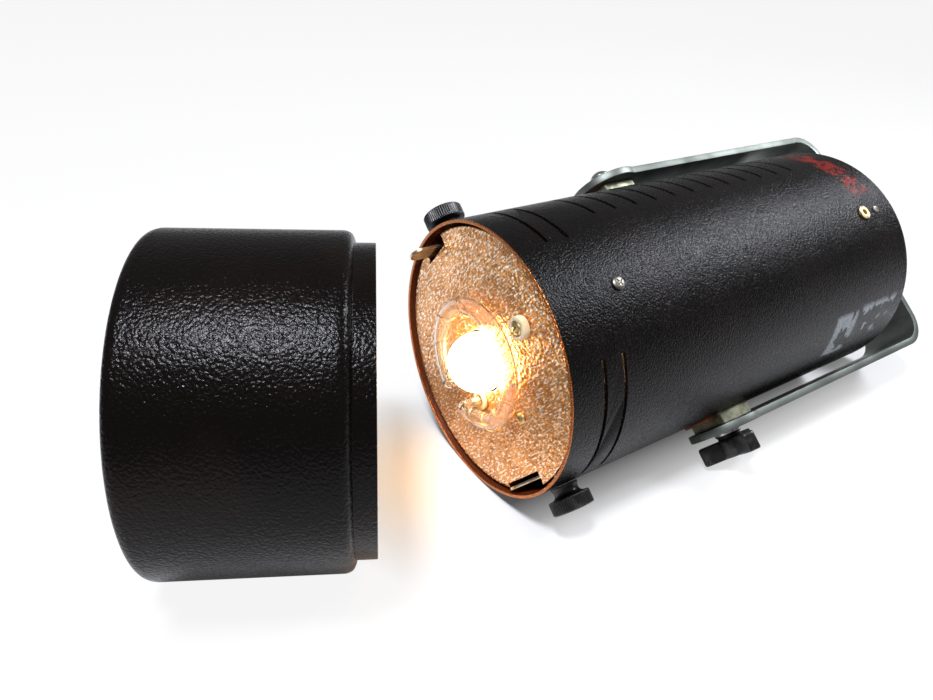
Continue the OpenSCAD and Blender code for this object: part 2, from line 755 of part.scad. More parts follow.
module test_button() color([0.75, 0.1, 0.08]) at_panel(button_at) plain(-4, 3.8, button_r);

module button_collar() color("silver") at_panel(button_at) difference() {
    union() {
        plain(tiny, 1.6, button_r + 3);
        plain(-10, 0.5, button_r + 1.3);
    }
    plain(-8, 2, button_r + loose_gap);
}

module ready_lamp() color([0.95, 0.5, 0.1]) at_panel(ready_at) {
    plain(-8, 1.2, 3);
    plain(tiny, 1.2, 4.4);
    translate([0, 0, 1.2]) intersection() {
        sphere(r = 3);
        plain(0, 4, 4);
    }
}

module fuse_holder() color([0.06, 0.06, 0.06]) at_panel(fuse_at) difference() {
    union() {
        plain(tiny, 2.2, 8.5);
        plain(-26, 1, 6);
    }
    plain(-20, 3, 4);
}

module fuse_cap() color([0.12, 0.12, 0.12]) at_panel(fuse_at) difference() {
    union() {
        plain(-16, 3, 3.7);
        plain(2.2 + face_gap, 8.5, 6.2);
    }
    translate([-7, -0.6, 7.2]) cube([14, 1.2, 2]);
}

module cord_gland() color([0.07, 0.07, 0.07]) at_panel(gland_at) difference() {
    union() {
        plain(-8, 12, gland_bore / 2 + 2);
        translate([0, 0, tiny]) cylinder(h = 5, r = gland_bore / 2 + 5, $fn = 6);
    }
    plain(-9, 13, gland_bore / 2);
}

// The hood's outline, from its collar at zero to its front lip, on the outside or the inside
module hood_outline(t) {
    drum_from = collar_len;
    drum_to = collar_len + hood_drum;
    r = hood_r - t;
    polygon([[0, 0], [collar_r - t, 0], [collar_r - t, drum_from + t], [r - shoulder, drum_from + t],
        [r - 1.2, drum_from + 1.2 + t], [r, drum_from + shoulder + t], [r, drum_to - shoulder - t],
        [r - 1.2, drum_to - 1.2 - t], [r - shoulder, drum_to - t], [lip_r - t, drum_to - t],
        [lip_r - t, drum_to + lip_len], [0, drum_to + lip_len]]);
}

// The front lip is a channel for a filter, which is slipped in where the lip is left open
module lip_opening() {
    base = collar_len + hood_drum + lip_stub;
    front = collar_len + hood_drum + lip_len;
    side = [[lip_open[0] * lip_r, base], [lip_r + 5, base], [lip_r + 5, front + 1], [lip_open[1] * lip_r, front],
        [lip_open[1] * lip_r, front + 1]];
    rotate([0, 0, lip_open_turn]) rotate([90, 0, 0])
        linear_extrude(2 * lip_r + 10, center = true) polygon([side[0], side[1], side[2], side[4], side[3]]);
}

module hood_shell() color([0.07, 0.06, 0.06])
    translate([hood_at[0], hood_at[1], hood_z])
        rotate([0, 0, hood_yaw]) rotate([0, -90, 0]) difference() {
            rotate_extrude() difference() {
                hood_outline(0);
                hood_outline(hood_wall);
                translate([-1, -1]) square([collar_r - hood_wall + 1, 2]);
                translate([-1, collar_len + hood_drum + lip_len - 1]) square([lip_r - hood_wall + 1, 2]);
            }
            lip_opening();
        }

tube_shell();
rear_cap();
rear_panel();
panel_screws();
reflector_plate();
plate_pillars();
plate_screw();
bulkhead();
flash_tube();
electrode_bushes();
trigger_wire();
trigger_insulator();
insulator_screw();
modelling_bulb();
bulb_cap();
lamp_holder();
chassis_tray();
capacitors();
capacitor_strap();
transformer_core();
transformer_coil();
circuit_board();
board_standoffs();
board_parts();
trigger_coil();
sync_socket();
sync_nut();
top_screws();
pivot_block_upper();
pivot_block_lower();
fibre_pads();
pivot_block_screws();
pivot_nuts();
pivot_bolt();
pivot_bolt_washer();
yoke();
tilt_washer();
wing_knob();
wing_screw();
thumbscrew_upper();
thumbscrew_lower();
clamp_screw_upper();
clamp_screw_lower();
clamp_nut_upper();
clamp_nut_lower();
clamp_tab_upper();
clamp_tab_lower();
power_rocker();
lamp_rocker();
switch_frames();
output_control();
output_knob();
test_button();
button_collar();
ready_lamp();
fuse_holder();
fuse_cap();
cord_gland();
hood_shell();
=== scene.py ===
# %% [markdown]
# # A studio monolight with its hood off
#
# The part is an old flash head: a rolled tube in black powder coat, a hammered reflector plate with
# a ring flash tube and a lit modelling bulb in its mouth, a yoke of flat bar, and the drum hood, taken
# off. The CAD model gives every place and size. This script adds finer shapes, finishes, wear and
# light.

# %% The frame and the libraries
import json
import math

import bmesh
import bpy
import numpy as np
from mathutils import Matrix

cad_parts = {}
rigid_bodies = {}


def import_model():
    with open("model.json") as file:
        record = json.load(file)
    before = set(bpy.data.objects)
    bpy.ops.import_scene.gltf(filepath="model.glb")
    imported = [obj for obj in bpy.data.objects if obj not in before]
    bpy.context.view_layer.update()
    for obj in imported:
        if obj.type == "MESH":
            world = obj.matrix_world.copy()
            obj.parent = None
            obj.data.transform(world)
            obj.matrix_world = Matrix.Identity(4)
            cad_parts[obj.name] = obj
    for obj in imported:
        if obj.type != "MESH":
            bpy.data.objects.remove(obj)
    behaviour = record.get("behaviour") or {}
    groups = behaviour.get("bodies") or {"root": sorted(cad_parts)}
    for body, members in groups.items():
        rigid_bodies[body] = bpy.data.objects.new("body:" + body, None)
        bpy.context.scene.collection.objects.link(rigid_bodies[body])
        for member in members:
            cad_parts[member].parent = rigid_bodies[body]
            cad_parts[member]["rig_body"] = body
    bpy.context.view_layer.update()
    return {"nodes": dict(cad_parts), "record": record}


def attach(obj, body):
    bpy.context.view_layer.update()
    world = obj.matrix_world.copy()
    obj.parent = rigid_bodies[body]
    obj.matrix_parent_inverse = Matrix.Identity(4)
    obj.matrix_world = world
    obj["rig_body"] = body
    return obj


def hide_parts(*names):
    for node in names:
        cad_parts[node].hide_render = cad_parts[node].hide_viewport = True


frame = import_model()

nodes = frame["nodes"]

# %% [markdown]
# ## Directions
#
# The head lies on its belly and leans on its wing knob, so it is rolled about its own length. All its
# pieces are easier to draw for a head that stands upright, and three unit vectors carry that drawing
# into the frame: towards the rear, out of the head's top, and out of its upper side. Drawings are in
# millimetres, as on a workshop sheet, and turn into metres when they are placed.

# %% Directions
MM = 0.001
ROLL = math.radians(38.166)
REAR = np.array((1.0, 0.0, 0.0))
TOP = np.array((0.0, -math.sin(ROLL), math.cos(ROLL)))
UPPER = np.array((0.0, math.cos(ROLL), math.sin(ROLL)))
LOWER = -UPPER
TUBE_R = 75.0
FLOOR = -TUBE_R
PANEL_X, PIVOT_X, CLAMP_X = 272, 139, 17.5


def unit(v):
    """The vector divided by its length, along the last axis."""
    v = np.asarray(v, float)
    return v / np.linalg.norm(v, axis=-1, keepdims=True)


def place(origin, out, along=REAR):
    """A place for a drawing: its origin in mm, and its three axes as rows, z pointing out and x lying
    near along."""
    out = unit(out)
    first = unit(np.asarray(along, float) - out * np.dot(along, out))
    return np.asarray(origin, float), np.stack([first, np.cross(out, first), out])


def on_head(x, out):
    """A place on the axis, x mm behind the mouth, with z pointing out of a side of the head."""
    return place(REAR * x, out)


def round_axis(x, radius, degrees):
    """A place at an angle from the head's top towards its lower side, with z towards the rear."""
    turn = math.radians(degrees)
    away = math.cos(turn) * TOP + math.sin(turn) * LOWER
    return place(REAR * x + away * radius, REAR, away)


def turned_over(where):
    """The same place with z pointing the other way."""
    origin, axes = where
    return origin, axes * [[1], [-1], [-1]]


def put(points, where):
    """Carries points in mm from a drawing into the frame, in metres."""
    origin, axes = where
    return (origin + points @ axes) * MM


# %% [markdown]
# ## Surfaces from grids
#
# Nearly every new piece is one of four things: a profile turned on a lathe, an outline that grows and
# shrinks as it rises, a round section carried along a path, or a sheet. Each is a grid of points, so
# one function makes them all into meshes. It merges the doubled points at seams and poles, so that
# the shell is closed, and turns the faces outwards.

# %% Meshes and pieces
def grid_faces(rows, columns, closed_rows, closed_columns, first):
    """Quads between neighbours of a grid whose points are numbered row by row from first."""
    i = np.arange(rows if closed_rows else rows - 1)
    j = np.arange(columns if closed_columns else columns - 1)
    i, j = np.meshgrid(i, j, indexing="ij")
    up, on = (i + 1) % rows, (j + 1) % columns
    corners = (i * columns + j, up * columns + j, up * columns + on, i * columns + on)
    return first + np.stack(corners, -1).reshape(-1, 4)


def mesh_of(name, grids, sharp=40):
    """One mesh from several grids, each (points, closed_rows, closed_columns), smooth but for sharp edges."""
    points, faces, first = [], [], 0
    for grid, closed_rows, closed_columns in grids:
        rows, columns = grid.shape[:2]
        points.append(grid.reshape(-1, 3))
        faces.append(grid_faces(rows, columns, closed_rows, closed_columns, first))
        first += rows * columns
    mesh = bpy.data.meshes.new(name)
    mesh.from_pydata(np.concatenate(points).tolist(), [], np.concatenate(faces).tolist())
    return cleaned(mesh, sharp)


def cleaned(mesh, sharp):
    """Merges doubled points, drops faces without area, turns the faces outwards and sets the shading."""
    work = bmesh.new()
    work.from_mesh(mesh)
    bmesh.ops.remove_doubles(work, verts=work.verts, dist=2e-6)
    bmesh.ops.dissolve_degenerate(work, edges=work.edges, dist=1e-7)
    bmesh.ops.recalc_face_normals(work, faces=work.faces)
    return written(work, mesh, sharp)


def written(work, mesh, sharp):
    """Writes a bmesh to its mesh and shades it smooth, except at edges sharper than sharp degrees."""
    work.to_mesh(mesh)
    work.free()
    mesh.polygons.foreach_set("use_smooth", np.ones(len(mesh.polygons), bool))
    mesh.set_sharp_from_angle(angle=math.radians(sharp))
    return mesh


def read(items, key):
    """A vector of each item, as rows."""
    values = np.zeros(len(items) * 3)
    items.foreach_get(key, values)
    return values.reshape(-1, 3)


def add_piece(name, mesh, finish, body, stands_for=()):
    """Puts a mesh in the scene, on its CAD body, in the place of the nodes that it stands for."""
    piece = bpy.data.objects.new(name, mesh)
    bpy.context.scene.collection.objects.link(piece)
    mesh.materials.append(finish)
    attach(piece, body)
    if stands_for:
        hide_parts(*stands_for)
    print(f"{name}: {len(mesh.polygons)} faces, on {body}")
    return piece


# %% [markdown]
# ## Profiles
#
# Real edges are never quite sharp: a lathe tool, a mould or a press leaves a small radius that
# catches the light. Profiles are written as plain corners, and one function rounds each corner with a
# short arc before the shape is made.

# %% Profiles
def rounded(corners, radius, steps=4, closed=False):
    """Rounds a polyline's corners: each is replaced by a quadratic arc that starts radius before it and
    ends radius after it, or half a side where that is shorter."""
    p = np.asarray(corners, float)
    before, after = np.roll(p, 1, 0) - p, np.roll(p, -1, 0) - p
    reach = np.broadcast_to(np.asarray(radius, float), len(p))
    lengths = [np.linalg.norm(v, axis=1) for v in (before, after)]
    cut = np.minimum(reach, 0.49 * np.minimum(*lengths))[:, None, None]
    t = np.linspace(0, 1, steps + 1)[None, :, None]
    start, end = (v[:, None] / np.maximum(n, 1e-9)[:, None, None] for v, n in zip((before, after), lengths))
    arcs = p[:, None] + cut * ((1 - t) ** 2 * start + t**2 * end)
    if closed:
        return arcs.reshape(-1, p.shape[1])
    return np.concatenate([p[:1], arcs[1:-1].reshape(-1, p.shape[1]), p[-1:]])


def full_turn(steps):
    """Angles once round, as a column."""
    return np.linspace(0, 2 * math.pi, steps, endpoint=False)[:, None]


def round_points(r, angle, height):
    """The points at these radii, angles and heights."""
    return np.stack([r * np.cos(angle), r * np.sin(angle), np.broadcast_to(height, r.shape)], -1)


def turned(profile, where, steps=72, ripple=None, bend=None):
    """A lathe shape: the profile's (radius, height) goes round z. ripple(angle, radius, height) may add a
    little to the radius, as for knurls, and bend(points) may move the finished points."""
    radius, height = np.asarray(profile, float).T
    angle = full_turn(steps)
    points = round_points(radius + (ripple(angle, radius, height) if ripple else 0 * angle), angle, height)
    return put(points if bend is None else bend(points), where), True, False


def risen(outline, levels, where, steps=180):
    """A shape that rises: at each level (height, inset) the outline's radius at every angle is drawn in
    by inset, and both ends close on the axis."""
    angle = full_turn(steps)
    height, inset = np.asarray(levels, float).T
    r = np.maximum(outline(angle, height) - inset, 0)
    r = np.concatenate([0 * r[:, :1], r, 0 * r[:, :1]], 1)
    height = np.concatenate([height[:1], height, height[-1:]])
    return put(round_points(r, angle, height), where), True, False


def carried(path, radius, side, around):
    """A round section carried along a path: at each point a circle of that radius is drawn in the plane of
    side (made square to the path) and the direction square to both. The ends close on the path."""
    path = np.asarray(path, float)
    along = unit(np.gradient(path, axis=0))
    side = np.broadcast_to(np.asarray(side, float), path.shape)
    first = unit(side - along * (side * along).sum(-1, keepdims=True))
    second = np.cross(along, first)
    turn = full_turn(around)[None]
    size = np.broadcast_to(np.asarray(radius, float), len(path))[:, None, None]
    ring = path[:, None] + size * (np.cos(turn) * first[:, None] + np.sin(turn) * second[:, None])
    start, end = (np.repeat(path[k][None, None], around, 1) for k in (0, -1))
    return np.concatenate([start, ring, end]) * MM, False, True


# %% [markdown]
# ## Colours and nodes
#
# Colours are written as the sRGB hex values that a colour picker shows, and one function turns them
# into the linear values that the renderer works in. Another adds a node with its settings and wires
# up its inputs, so each finish below reads as a list of what happens to it.

# %% Colours and nodes
def linear(colour):
    """A hex colour as linear RGBA: c / 12.92 below 0.04045, and ((c + 0.055) / 1.055) ** 2.4 above it."""
    parts = [int(colour[i : i + 2], 16) / 255 for i in (1, 3, 5)]
    return tuple(c / 12.92 if c < 0.04045 else ((c + 0.055) / 1.055) ** 2.4 for c in parts) + (1.0,)


def add(made, kind, inputs=None, **settings):
    """Adds a node to a material: inputs gives its sockets values, or the sockets that feed them."""
    node = made.node_tree.nodes.new("ShaderNode" + kind)
    for key, value in settings.items():
        setattr(node, key, value)
    for key, value in (inputs or {}).items():
        if isinstance(value, bpy.types.NodeSocket):
            made.node_tree.links.new(value, node.inputs[key])
        else:
            node.inputs[key].default_value = value
    return node


def new_finish(name, colour, roughness, metallic=0.0, **sockets):
    """A new material and its shader, with plain values on the sockets."""
    made = bpy.data.materials.new(name)
    made.use_nodes = True
    shader = made.node_tree.nodes["Principled BSDF"]
    shader.inputs["Base Color"].default_value = linear(colour)
    shader.inputs["Roughness"].default_value = roughness
    shader.inputs["Metallic"].default_value = metallic
    for key, value in sockets.items():
        shader.inputs[key.replace("_", " ")].default_value = value
    return made, shader


def feed(made, shader, socket, source):
    """Wires a socket of the shader to an output."""
    made.node_tree.links.new(source, shader.inputs[socket])


def both(made, first, second):
    """The product of two shares, each a number or an output."""
    return add(made, "Math", {0: first, 1: second}, operation="MULTIPLY").outputs[0]


def either(made, first, second):
    """The larger of two shares."""
    return add(made, "Math", {0: first, 1: second}, operation="MAXIMUM").outputs[0]


def ramp(made, value, low, high, first=0.0, last=1.0):
    """Straight from first where value is low to last where it is high, and level beyond both."""
    return add(made, "MapRange", {0: value, 1: low, 2: high, 3: first, 4: last}).outputs[0]


def object_place(made):
    """The point on the piece, in metres in the frame."""
    return add(made, "TexCoord").outputs["Object"]


def noise(made, vector, size_mm, detail=2.0):
    """Noise whose waves are about size_mm long."""
    inputs = {"Vector": vector, "Scale": 1 / (size_mm * MM), "Detail": detail}
    return add(made, "TexNoise", inputs).outputs[0]


def spots(made, size_mm, low, high, detail=2.0, offset=0.0, vector=None):
    """Soft random patches about size_mm across: 0 below low, 1 above high."""
    source = vector or object_place(made)
    if offset:
        source = add(made, "Mapping", {0: source, 1: (offset, offset, offset)}).outputs[0]
    ends = {0: noise(made, source, size_mm, detail), 1: low, 2: high}
    return add(made, "MapRange", ends, interpolation_type="SMOOTHSTEP").outputs[0]


def blended(made, share, first, second):
    """Colour first where share is 0, second where it is 1. Each is a hex colour or an output."""
    node = add(made, "Mix", {0: share}, data_type="RGBA")
    for index, colour in ((6, first), (7, second)):
        if isinstance(colour, str):
            node.inputs[index].default_value = linear(colour)
        else:
            made.node_tree.links.new(colour, node.inputs[index])
    return node.outputs[2]


def relief(made, shader, layers):
    """Stacks bumps: each layer is (height output, depth in mm), and the last one reaches the shader."""
    normal = None
    for height, depth in layers:
        inputs = {"Height": height, "Distance": depth * MM, "Strength": 1.0}
        if normal is not None:
            inputs["Normal"] = normal
        normal = add(made, "Bump", inputs).outputs[0]
    feed(made, shader, "Normal", normal)


# %% [markdown]
# ## The camera
#
# The camera stands where the photographer's did: above and in front of the head, about 37 cm from its
# mouth, looking down at it. Its place and lens come from fitting the tube's rims in the picture.

# %% Camera
RIGHT = unit((0.8344, -0.5473, 0.0640))
UP = unit((0.2554, 0.4869, 0.8350))
FORWARD = unit((0.4885, 0.6804, -0.5460))
STAND = (-0.1850, -0.2464, 0.2080)
lens = bpy.data.cameras.new("camera")
lens.sensor_width, lens.lens, lens.clip_start = 36.0, 27.23, 0.01
camera = bpy.data.objects.new("camera", lens)
bpy.context.scene.collection.objects.link(camera)
camera.matrix_world = Matrix([(RIGHT[i], UP[i], -FORWARD[i], STAND[i]) for i in range(3)] + [(0, 0, 0, 1)])
bpy.context.scene.camera = camera
bpy.context.scene.view_settings.view_transform = "Standard"

# %% [markdown]
# ## The table, the backdrop and the lamps
#
# The object stands on a plain pale table under soft light. One lamp hangs overhead and makes the pale
# band on the hood; the other stands far behind the head and makes the long band on its back. What is
# seen directly, or mirrored in metal and glass, is lifted towards white, but that lift puts no light
# on the object. Close to the head the table is hardly lifted, so that the shadow under it stays dark.

# %% Stage and lamps
def pale_where_seen(made, shade, seen, mirrored):
    """Mixes a shader with white: seen is the share for rays from the camera and through glass, mirrored
    the share for glossy ones."""
    path = add(made, "LightPath").outputs
    straight = both(made, either(made, path["Is Camera Ray"], path["Is Transmission Ray"]), seen)
    share = either(made, straight, both(made, path["Is Glossy Ray"], mirrored))
    white = add(made, "Emission" if isinstance(made, bpy.types.Material) else "Background").outputs[0]
    return add(made, "MixShader", {0: share, 1: shade, 2: white}).outputs[0]


table, shader = new_finish("pale_table", "#E9E8E6", 0.9)
shader.inputs["Specular IOR Level"].default_value = 0.1
output = table.node_tree.nodes["Material Output"]
point = object_place(table)
head_length = 0.33
axis = add(table, "VectorMath", {0: point, 1: (head_length, 0, 1)}, operation="MINIMUM").outputs[0]
axis = add(table, "VectorMath", {0: axis, 1: (0, 0, -1)}, operation="MAXIMUM").outputs[0]
aside = add(table, "VectorMath", {0: point, 1: axis}, operation="DISTANCE").outputs[1]
seen = ramp(table, aside, 35 * MM, 90 * MM, 0.05, 0.9)
table.node_tree.links.new(pale_where_seen(table, shader.outputs[0], seen, 0.1), output.inputs[0])
reach = np.linspace(-12000, 12000, 3)
plan = np.stack([*np.meshgrid(reach, reach, indexing="ij"), np.full((3, 3), FLOOR - 0.05)], -1) * MM
floor = bpy.data.objects.new("table_top", mesh_of("table_top", [(plan, False, False)]))
floor.data.materials.append(table)
bpy.context.scene.collection.objects.link(floor)

world = bpy.data.worlds.new("studio")
bpy.context.scene.world = world
world.use_nodes = True
sky = world.node_tree.nodes["Background"]
sky.inputs[0].default_value = linear("#F4F6FA")
sky.inputs[1].default_value = 0.2
surround = pale_where_seen(world, sky.outputs[0], 1.0, 0.05)
world.node_tree.links.new(surround, world.node_tree.nodes["World Output"].inputs[0])


def softbox(name, stand, aim, size, watts, colour):
    """A square area lamp at stand, facing aim."""
    lamp = bpy.data.lights.new(name, "AREA")
    lamp.size, lamp.energy, lamp.color = size, watts, linear(colour)[:3]
    holder = bpy.data.objects.new(name, lamp)
    bpy.context.scene.collection.objects.link(holder)
    out, first = unit(np.subtract(stand, aim)), unit(np.cross((0.3, 1.0, 0.2), np.subtract(stand, aim)))
    axes = (first, np.cross(out, first), out)
    rows = [[*(float(axis[i]) for axis in axes), float(stand[i])] for i in range(3)]
    holder.matrix_world = Matrix([*rows, [0, 0, 0, 1]])


softbox("lamp_overhead", (-0.36, -0.16, 1.05), (-0.11, 0.0, 0.0), 0.2, 17.0, "#F2F5FF")
softbox("lamp_behind", (1.05, -0.22, 0.90), (0.12, 0.0, 0.0), 0.34, 18.0, "#F2F5FF")
print("camera, table, surround and two lamps are in place")

# %% [markdown]
# ## Black coats
#
# The tube and its hood are steel with a textured powder coat, baked on as fine black grains that melt
# together. The eye gets a dark surface that glitters wherever a grain tilts towards a lamp. The grain
# on the tube is about 1 mm across and that on the hood about 1.4 mm, like fine leather. Both come
# from a cell pattern for the grains and a noise for the flow between them, used as relief.

# %% Black coats
def upright(made):
    """The point in metres in the upright head's axes: x to the rear, y to its upper side, z to its top."""
    return add(made, "Mapping", {0: object_place(made), 2: (-ROLL, 0, 0)}).outputs[0]


def stretched(made, scale):
    """The same point with its axes scaled, which draws patterns out along the axis that shrinks."""
    return add(made, "Mapping", {0: upright(made), 3: scale}).outputs[0]


def between(made, value, low, high, soft):
    """1 where low < value < high, falling to 0 over soft at both ends."""
    up = ramp(made, value, low - soft, low + soft)
    return both(made, up, ramp(made, value, high + soft, high - soft))


def powder_coat(name, grain_mm, depth_mm, dark, worn, gloss):
    """Powder coat: rounded grains over a slower flow, a little browner where it is worn, with its gloss
    following the flow.
    """
    made, shader = new_finish(name, dark, gloss, Specular_IOR_Level=0.1)
    at = object_place(made)
    grain = add(made, "TexVoronoi", {"Vector": at, "Scale": 1 / (grain_mm * MM)}, feature="SMOOTH_F1")
    flow = noise(made, at, grain_mm * 0.8)
    relief(made, shader, [(flow, depth_mm), (grain.outputs[0], -depth_mm)])
    share = spots(made, 38, 0.42, 0.72, 6.0)
    colour = blended(made, share, dark, worn)
    feed(made, shader, "Roughness", ramp(made, flow, 0.3, 0.7, gloss - 0.06, gloss + 0.1))
    return made, shader, colour


hood_coat, shader, colour = powder_coat("hood_powder_coat", 1.35, 0.24, "#0A0706", "#120B08", 0.2)
feed(hood_coat, shader, "Base Color", colour)

# %% [markdown]
# The tube has lived. There is a smear of red paint near its rear rim, two torn remains of a pale
# label low on its side, and scratches by the front slots. Each is kept to its own window, in mm along
# the tube and degrees round it, and broken up by noise. At the mouth a hair of edge is made metallic
# and painted orange: a painted glow of the bulb's light on it. Inside the mouth the coat is painted
# brown: a painted glow of the bulb's warm light on the black coat.

# %% The tube's coat, its wear and its painted glow
tube_coat, shader, colour = powder_coat("tube_powder_coat", 0.95, 0.26, "#080605", "#0F0A08", 0.24)
tube_point = upright(tube_coat)
axes = add(tube_coat, "SeparateXYZ", {0: tube_point})
along = axes.outputs[0]
turn = {0: both(tube_coat, axes.outputs[1], -1.0), 1: axes.outputs[2]}
turn = add(tube_coat, "Math", turn, operation="ARCTAN2").outputs[0]


def mark(x_mm, degrees, soft_mm, *patches):
    """A mark on the tube: the spots that these patches give, inside a window from x to x and from angle
    to angle."""
    across = between(tube_coat, turn, *(math.radians(d) for d in degrees), soft_mm / TUBE_R)
    window = both(tube_coat, between(tube_coat, along, x_mm[0] * MM, x_mm[1] * MM, soft_mm * MM), across)
    return both(tube_coat, window, spots(tube_coat, *patches))


fine = stretched(tube_coat, (0.25, 1.6, 1.6))
paint = mark((250, 265), (-54, -10), 3.0, 6, 0.43, 0.58, 8.0, 0.3)
torn = mark((206, 228), (44, 66), 1.5, 7, 0.44, 0.5, 9.0, 0.7)
label = either(tube_coat, torn, mark((232, 276), (43, 60), 2.0, 9, 0.52, 0.58, 9.0, 1.1))
scratch = mark((6, 19), (-62, -44), 1.5, 1.1, 0.6, 0.66, 3.0, 0.2, fine)
from_axis = add(tube_coat, "VectorMath", {0: tube_point, 1: (0, 1, 1)}, operation="MULTIPLY").outputs[0]
from_axis = add(tube_coat, "VectorMath", {0: from_axis}, operation="LENGTH").outputs[1]
# Painted glow: brown on the inner wall near the mouth stands for the bulb's warm light there.
inside = ramp(tube_coat, from_axis, 74.4 * MM, 74.1 * MM)
inside = both(tube_coat, inside, ramp(tube_coat, along, 13 * MM, 9 * MM))
# Painted glow: the mouth's edge is made metallic and orange, and the orange stands for the bulb's light on
# it.
bare_edge_painted_glow = ramp(tube_coat, along, 0.5 * MM, 0.2 * MM)
wear_and_painted_glow = (paint, "#70160D"), (label, "#7E8385"), (scratch, "#4A4A48"), (inside, "#5A2A14"), (bare_edge_painted_glow, "#B06A34")
for share, shade in wear_and_painted_glow:
    colour = blended(tube_coat, share, colour, shade)
feed(tube_coat, shader, "Base Color", colour)
feed(tube_coat, shader, "Metallic", bare_edge_painted_glow)

# %% [markdown]
# ## Metals
#
# The reflector plate is hammered aluminium sheet. Its gold is painted warm light from the bulb, put
# into its base colour, and pale spots on its crests are painted glints. The yoke is flat bar with a dull
# greenish skin and drawing lines along it. Screws are zinc plated, bright or dulled by handling, blocks
# are olive chromated zinc, and tabs are nickel steel. A metal's colour lives in its base colour, and its
# age in its roughness, so every one gets patches, fine lines, or both.

# %% Metals
def aged_metal(name, colour, aged, gloss, dull, lines=(1, 1, 1), line_mm=0.35, depth_mm=0.01, patch_mm=9):
    """Metal: patches between two colours and two roughnesses, with fine lines drawn out along one axis."""
    made, shader = new_finish(name, colour, gloss, 1.0)
    patch = spots(made, patch_mm, 0.35, 0.7, 6.0)
    feed(made, shader, "Base Color", blended(made, patch, colour, aged))
    line = noise(made, stretched(made, lines), line_mm, 4.0)
    mixed = add(made, "Math", {0: patch, 1: line}, operation="ADD").outputs[0]
    feed(made, shader, "Roughness", ramp(made, mixed, 0.3, 1.5, gloss, dull))
    relief(made, shader, [(line, depth_mm)])
    return made


# Painted warm light: the plate's two gold base colours stand for the bulb's light on the aluminium.
gold_painted_plate = aged_metal(
    "hammered_aluminium_painted_gold", "#E6A460", "#CB8743", 0.16, 0.26, (1, 1.3, 0.8), 1.5, 0.04, 14
)
shader = gold_painted_plate.node_tree.nodes["Principled BSDF"]
shader.inputs["Metallic"].default_value = 0.65
# Painted glints: pale spots on the crests of the blisters stand for small highlights of the bulb.
painted_glints = spots(gold_painted_plate, 1.5, 0.54, 0.61, 1.0, 0.0, stretched(gold_painted_plate, (1, 1.5, 0.5)))
painted_gold_colour = shader.inputs["Base Color"].links[0].from_socket
feed(gold_painted_plate, shader, "Base Color", blended(gold_painted_plate, painted_glints, painted_gold_colour, "#FFF1DA"))
yoke_metal = aged_metal("yoke_flat_bar", "#777C76", "#585D57", 0.46, 0.62, (0.04, 1, 1), 0.5, 0.02, 30)
block_zinc = aged_metal("olive_zinc", "#A3A38C", "#7E7F68", 0.42, 0.62, patch_mm=5, depth_mm=0.03)
chassis_zinc = aged_metal("plated_chassis", "#A9ABA8", "#8B8C86", 0.34, 0.5, (0.1, 1, 1))
screw_steel = aged_metal("bright_zinc_plate", "#D2D3D0", "#A09E96", 0.2, 0.4, patch_mm=3)
tab_steel = aged_metal("nickel_steel", "#D9C9AC", "#B59A72", 0.22, 0.42, (0.08, 1, 1), 0.3)
gilt_steel = aged_metal("yellow_passivated_zinc", "#E6CE98", "#B79A5E", 0.3, 0.5, patch_mm=2)
dull_steel = aged_metal("handled_zinc_plate", "#8E8A80", "#5A554C", 0.34, 0.55, patch_mm=2)
brass = aged_metal("aged_brass", "#C9B27A", "#8E7442", 0.24, 0.45, patch_mm=3)
copper = aged_metal("tinned_copper_wire", "#D8B184", "#A87B4C", 0.26, 0.4, patch_mm=4)
core_iron = aged_metal("stacked_core_iron", "#4B4B50", "#2F2D2C", 0.45, 0.65, (6, 0.05, 0.05), 0.5, 0.1)

# %% [markdown]
# ## Plastics, glass, ceramic and the rest
#
# Black knobs are moulded phenolic: hard, fairly glossy, and greyed by dust in patches. The
# modelling bulb is on, so its frosted glass gives out warm light, and that light is what turns the
# plate round it to gold. The flash tube is clear borosilicate glass.

# %% Plastics, glass and the rest
def moulded(name, colour, dusty, gloss, grain_mm=0.5, depth_mm=0.02):
    """Moulded plastic: dusty patches, a faint mould texture, and a little variation in gloss."""
    made, shader = new_finish(name, colour, gloss, Specular_IOR_Level=0.45)
    patch = spots(made, 6, 0.45, 0.75, 7.0)
    feed(made, shader, "Base Color", blended(made, patch, colour, dusty))
    feed(made, shader, "Roughness", ramp(made, patch, 0.0, 1.0, gloss, gloss + 0.2))
    relief(made, shader, [(noise(made, object_place(made), grain_mm), depth_mm)])
    return made


knob_black = moulded("black_phenolic", "#12110F", "#2A2826", 0.3)
case_black = moulded("black_nylon", "#141312", "#242220", 0.45)
red_plastic = moulded("red_abs", "#9E1C16", "#7C211B", 0.3)
panel_coat = moulded("charcoal_panel_coat", "#26272A", "#34353A", 0.5, 0.8, 0.08)
ceramic = moulded("cream_steatite", "#F0DDB6", "#D6BC8C", 0.35, 0.4, 0.03)
fibre = moulded("vulcanised_fibre", "#74401F", "#552A12", 0.5, 0.7, 0.08)
sleeve = moulded("blue_shrink_sleeve", "#27406F", "#1C2D50", 0.3)
board = moulded("board_laminate", "#1F5A34", "#17442A", 0.35, 1.2, 0.03)
amber = moulded("amber_lens_plastic", "#D97A1A", "#B8610F", 0.15)
winding, shader = new_finish("varnished_winding", "#A5612B", 0.35)
turns = {"Vector": upright(winding), "Scale": 160.0, "Distortion": 0.4}
turns = add(winding, "TexWave", turns, bands_direction="X").outputs[1]
feed(winding, shader, "Base Color", blended(winding, turns, "#5E3214", "#B8743A"))
relief(winding, shader, [(turns, 0.4)])

lit, shader = new_finish("lit_frosted_glass", "#FFF3E0", 0.35)
glow = spots(lit, 16, 0.2, 0.8, 2.0)
feed(lit, shader, "Emission Color", blended(lit, glow, "#FFD09C", "#FFDDB4"))
depth = add(lit, "SeparateXYZ", {0: object_place(lit)}).outputs[0]
feed(lit, shader, "Emission Strength", ramp(lit, depth, 6 * MM, 1 * MM, 0.7, 32.0))

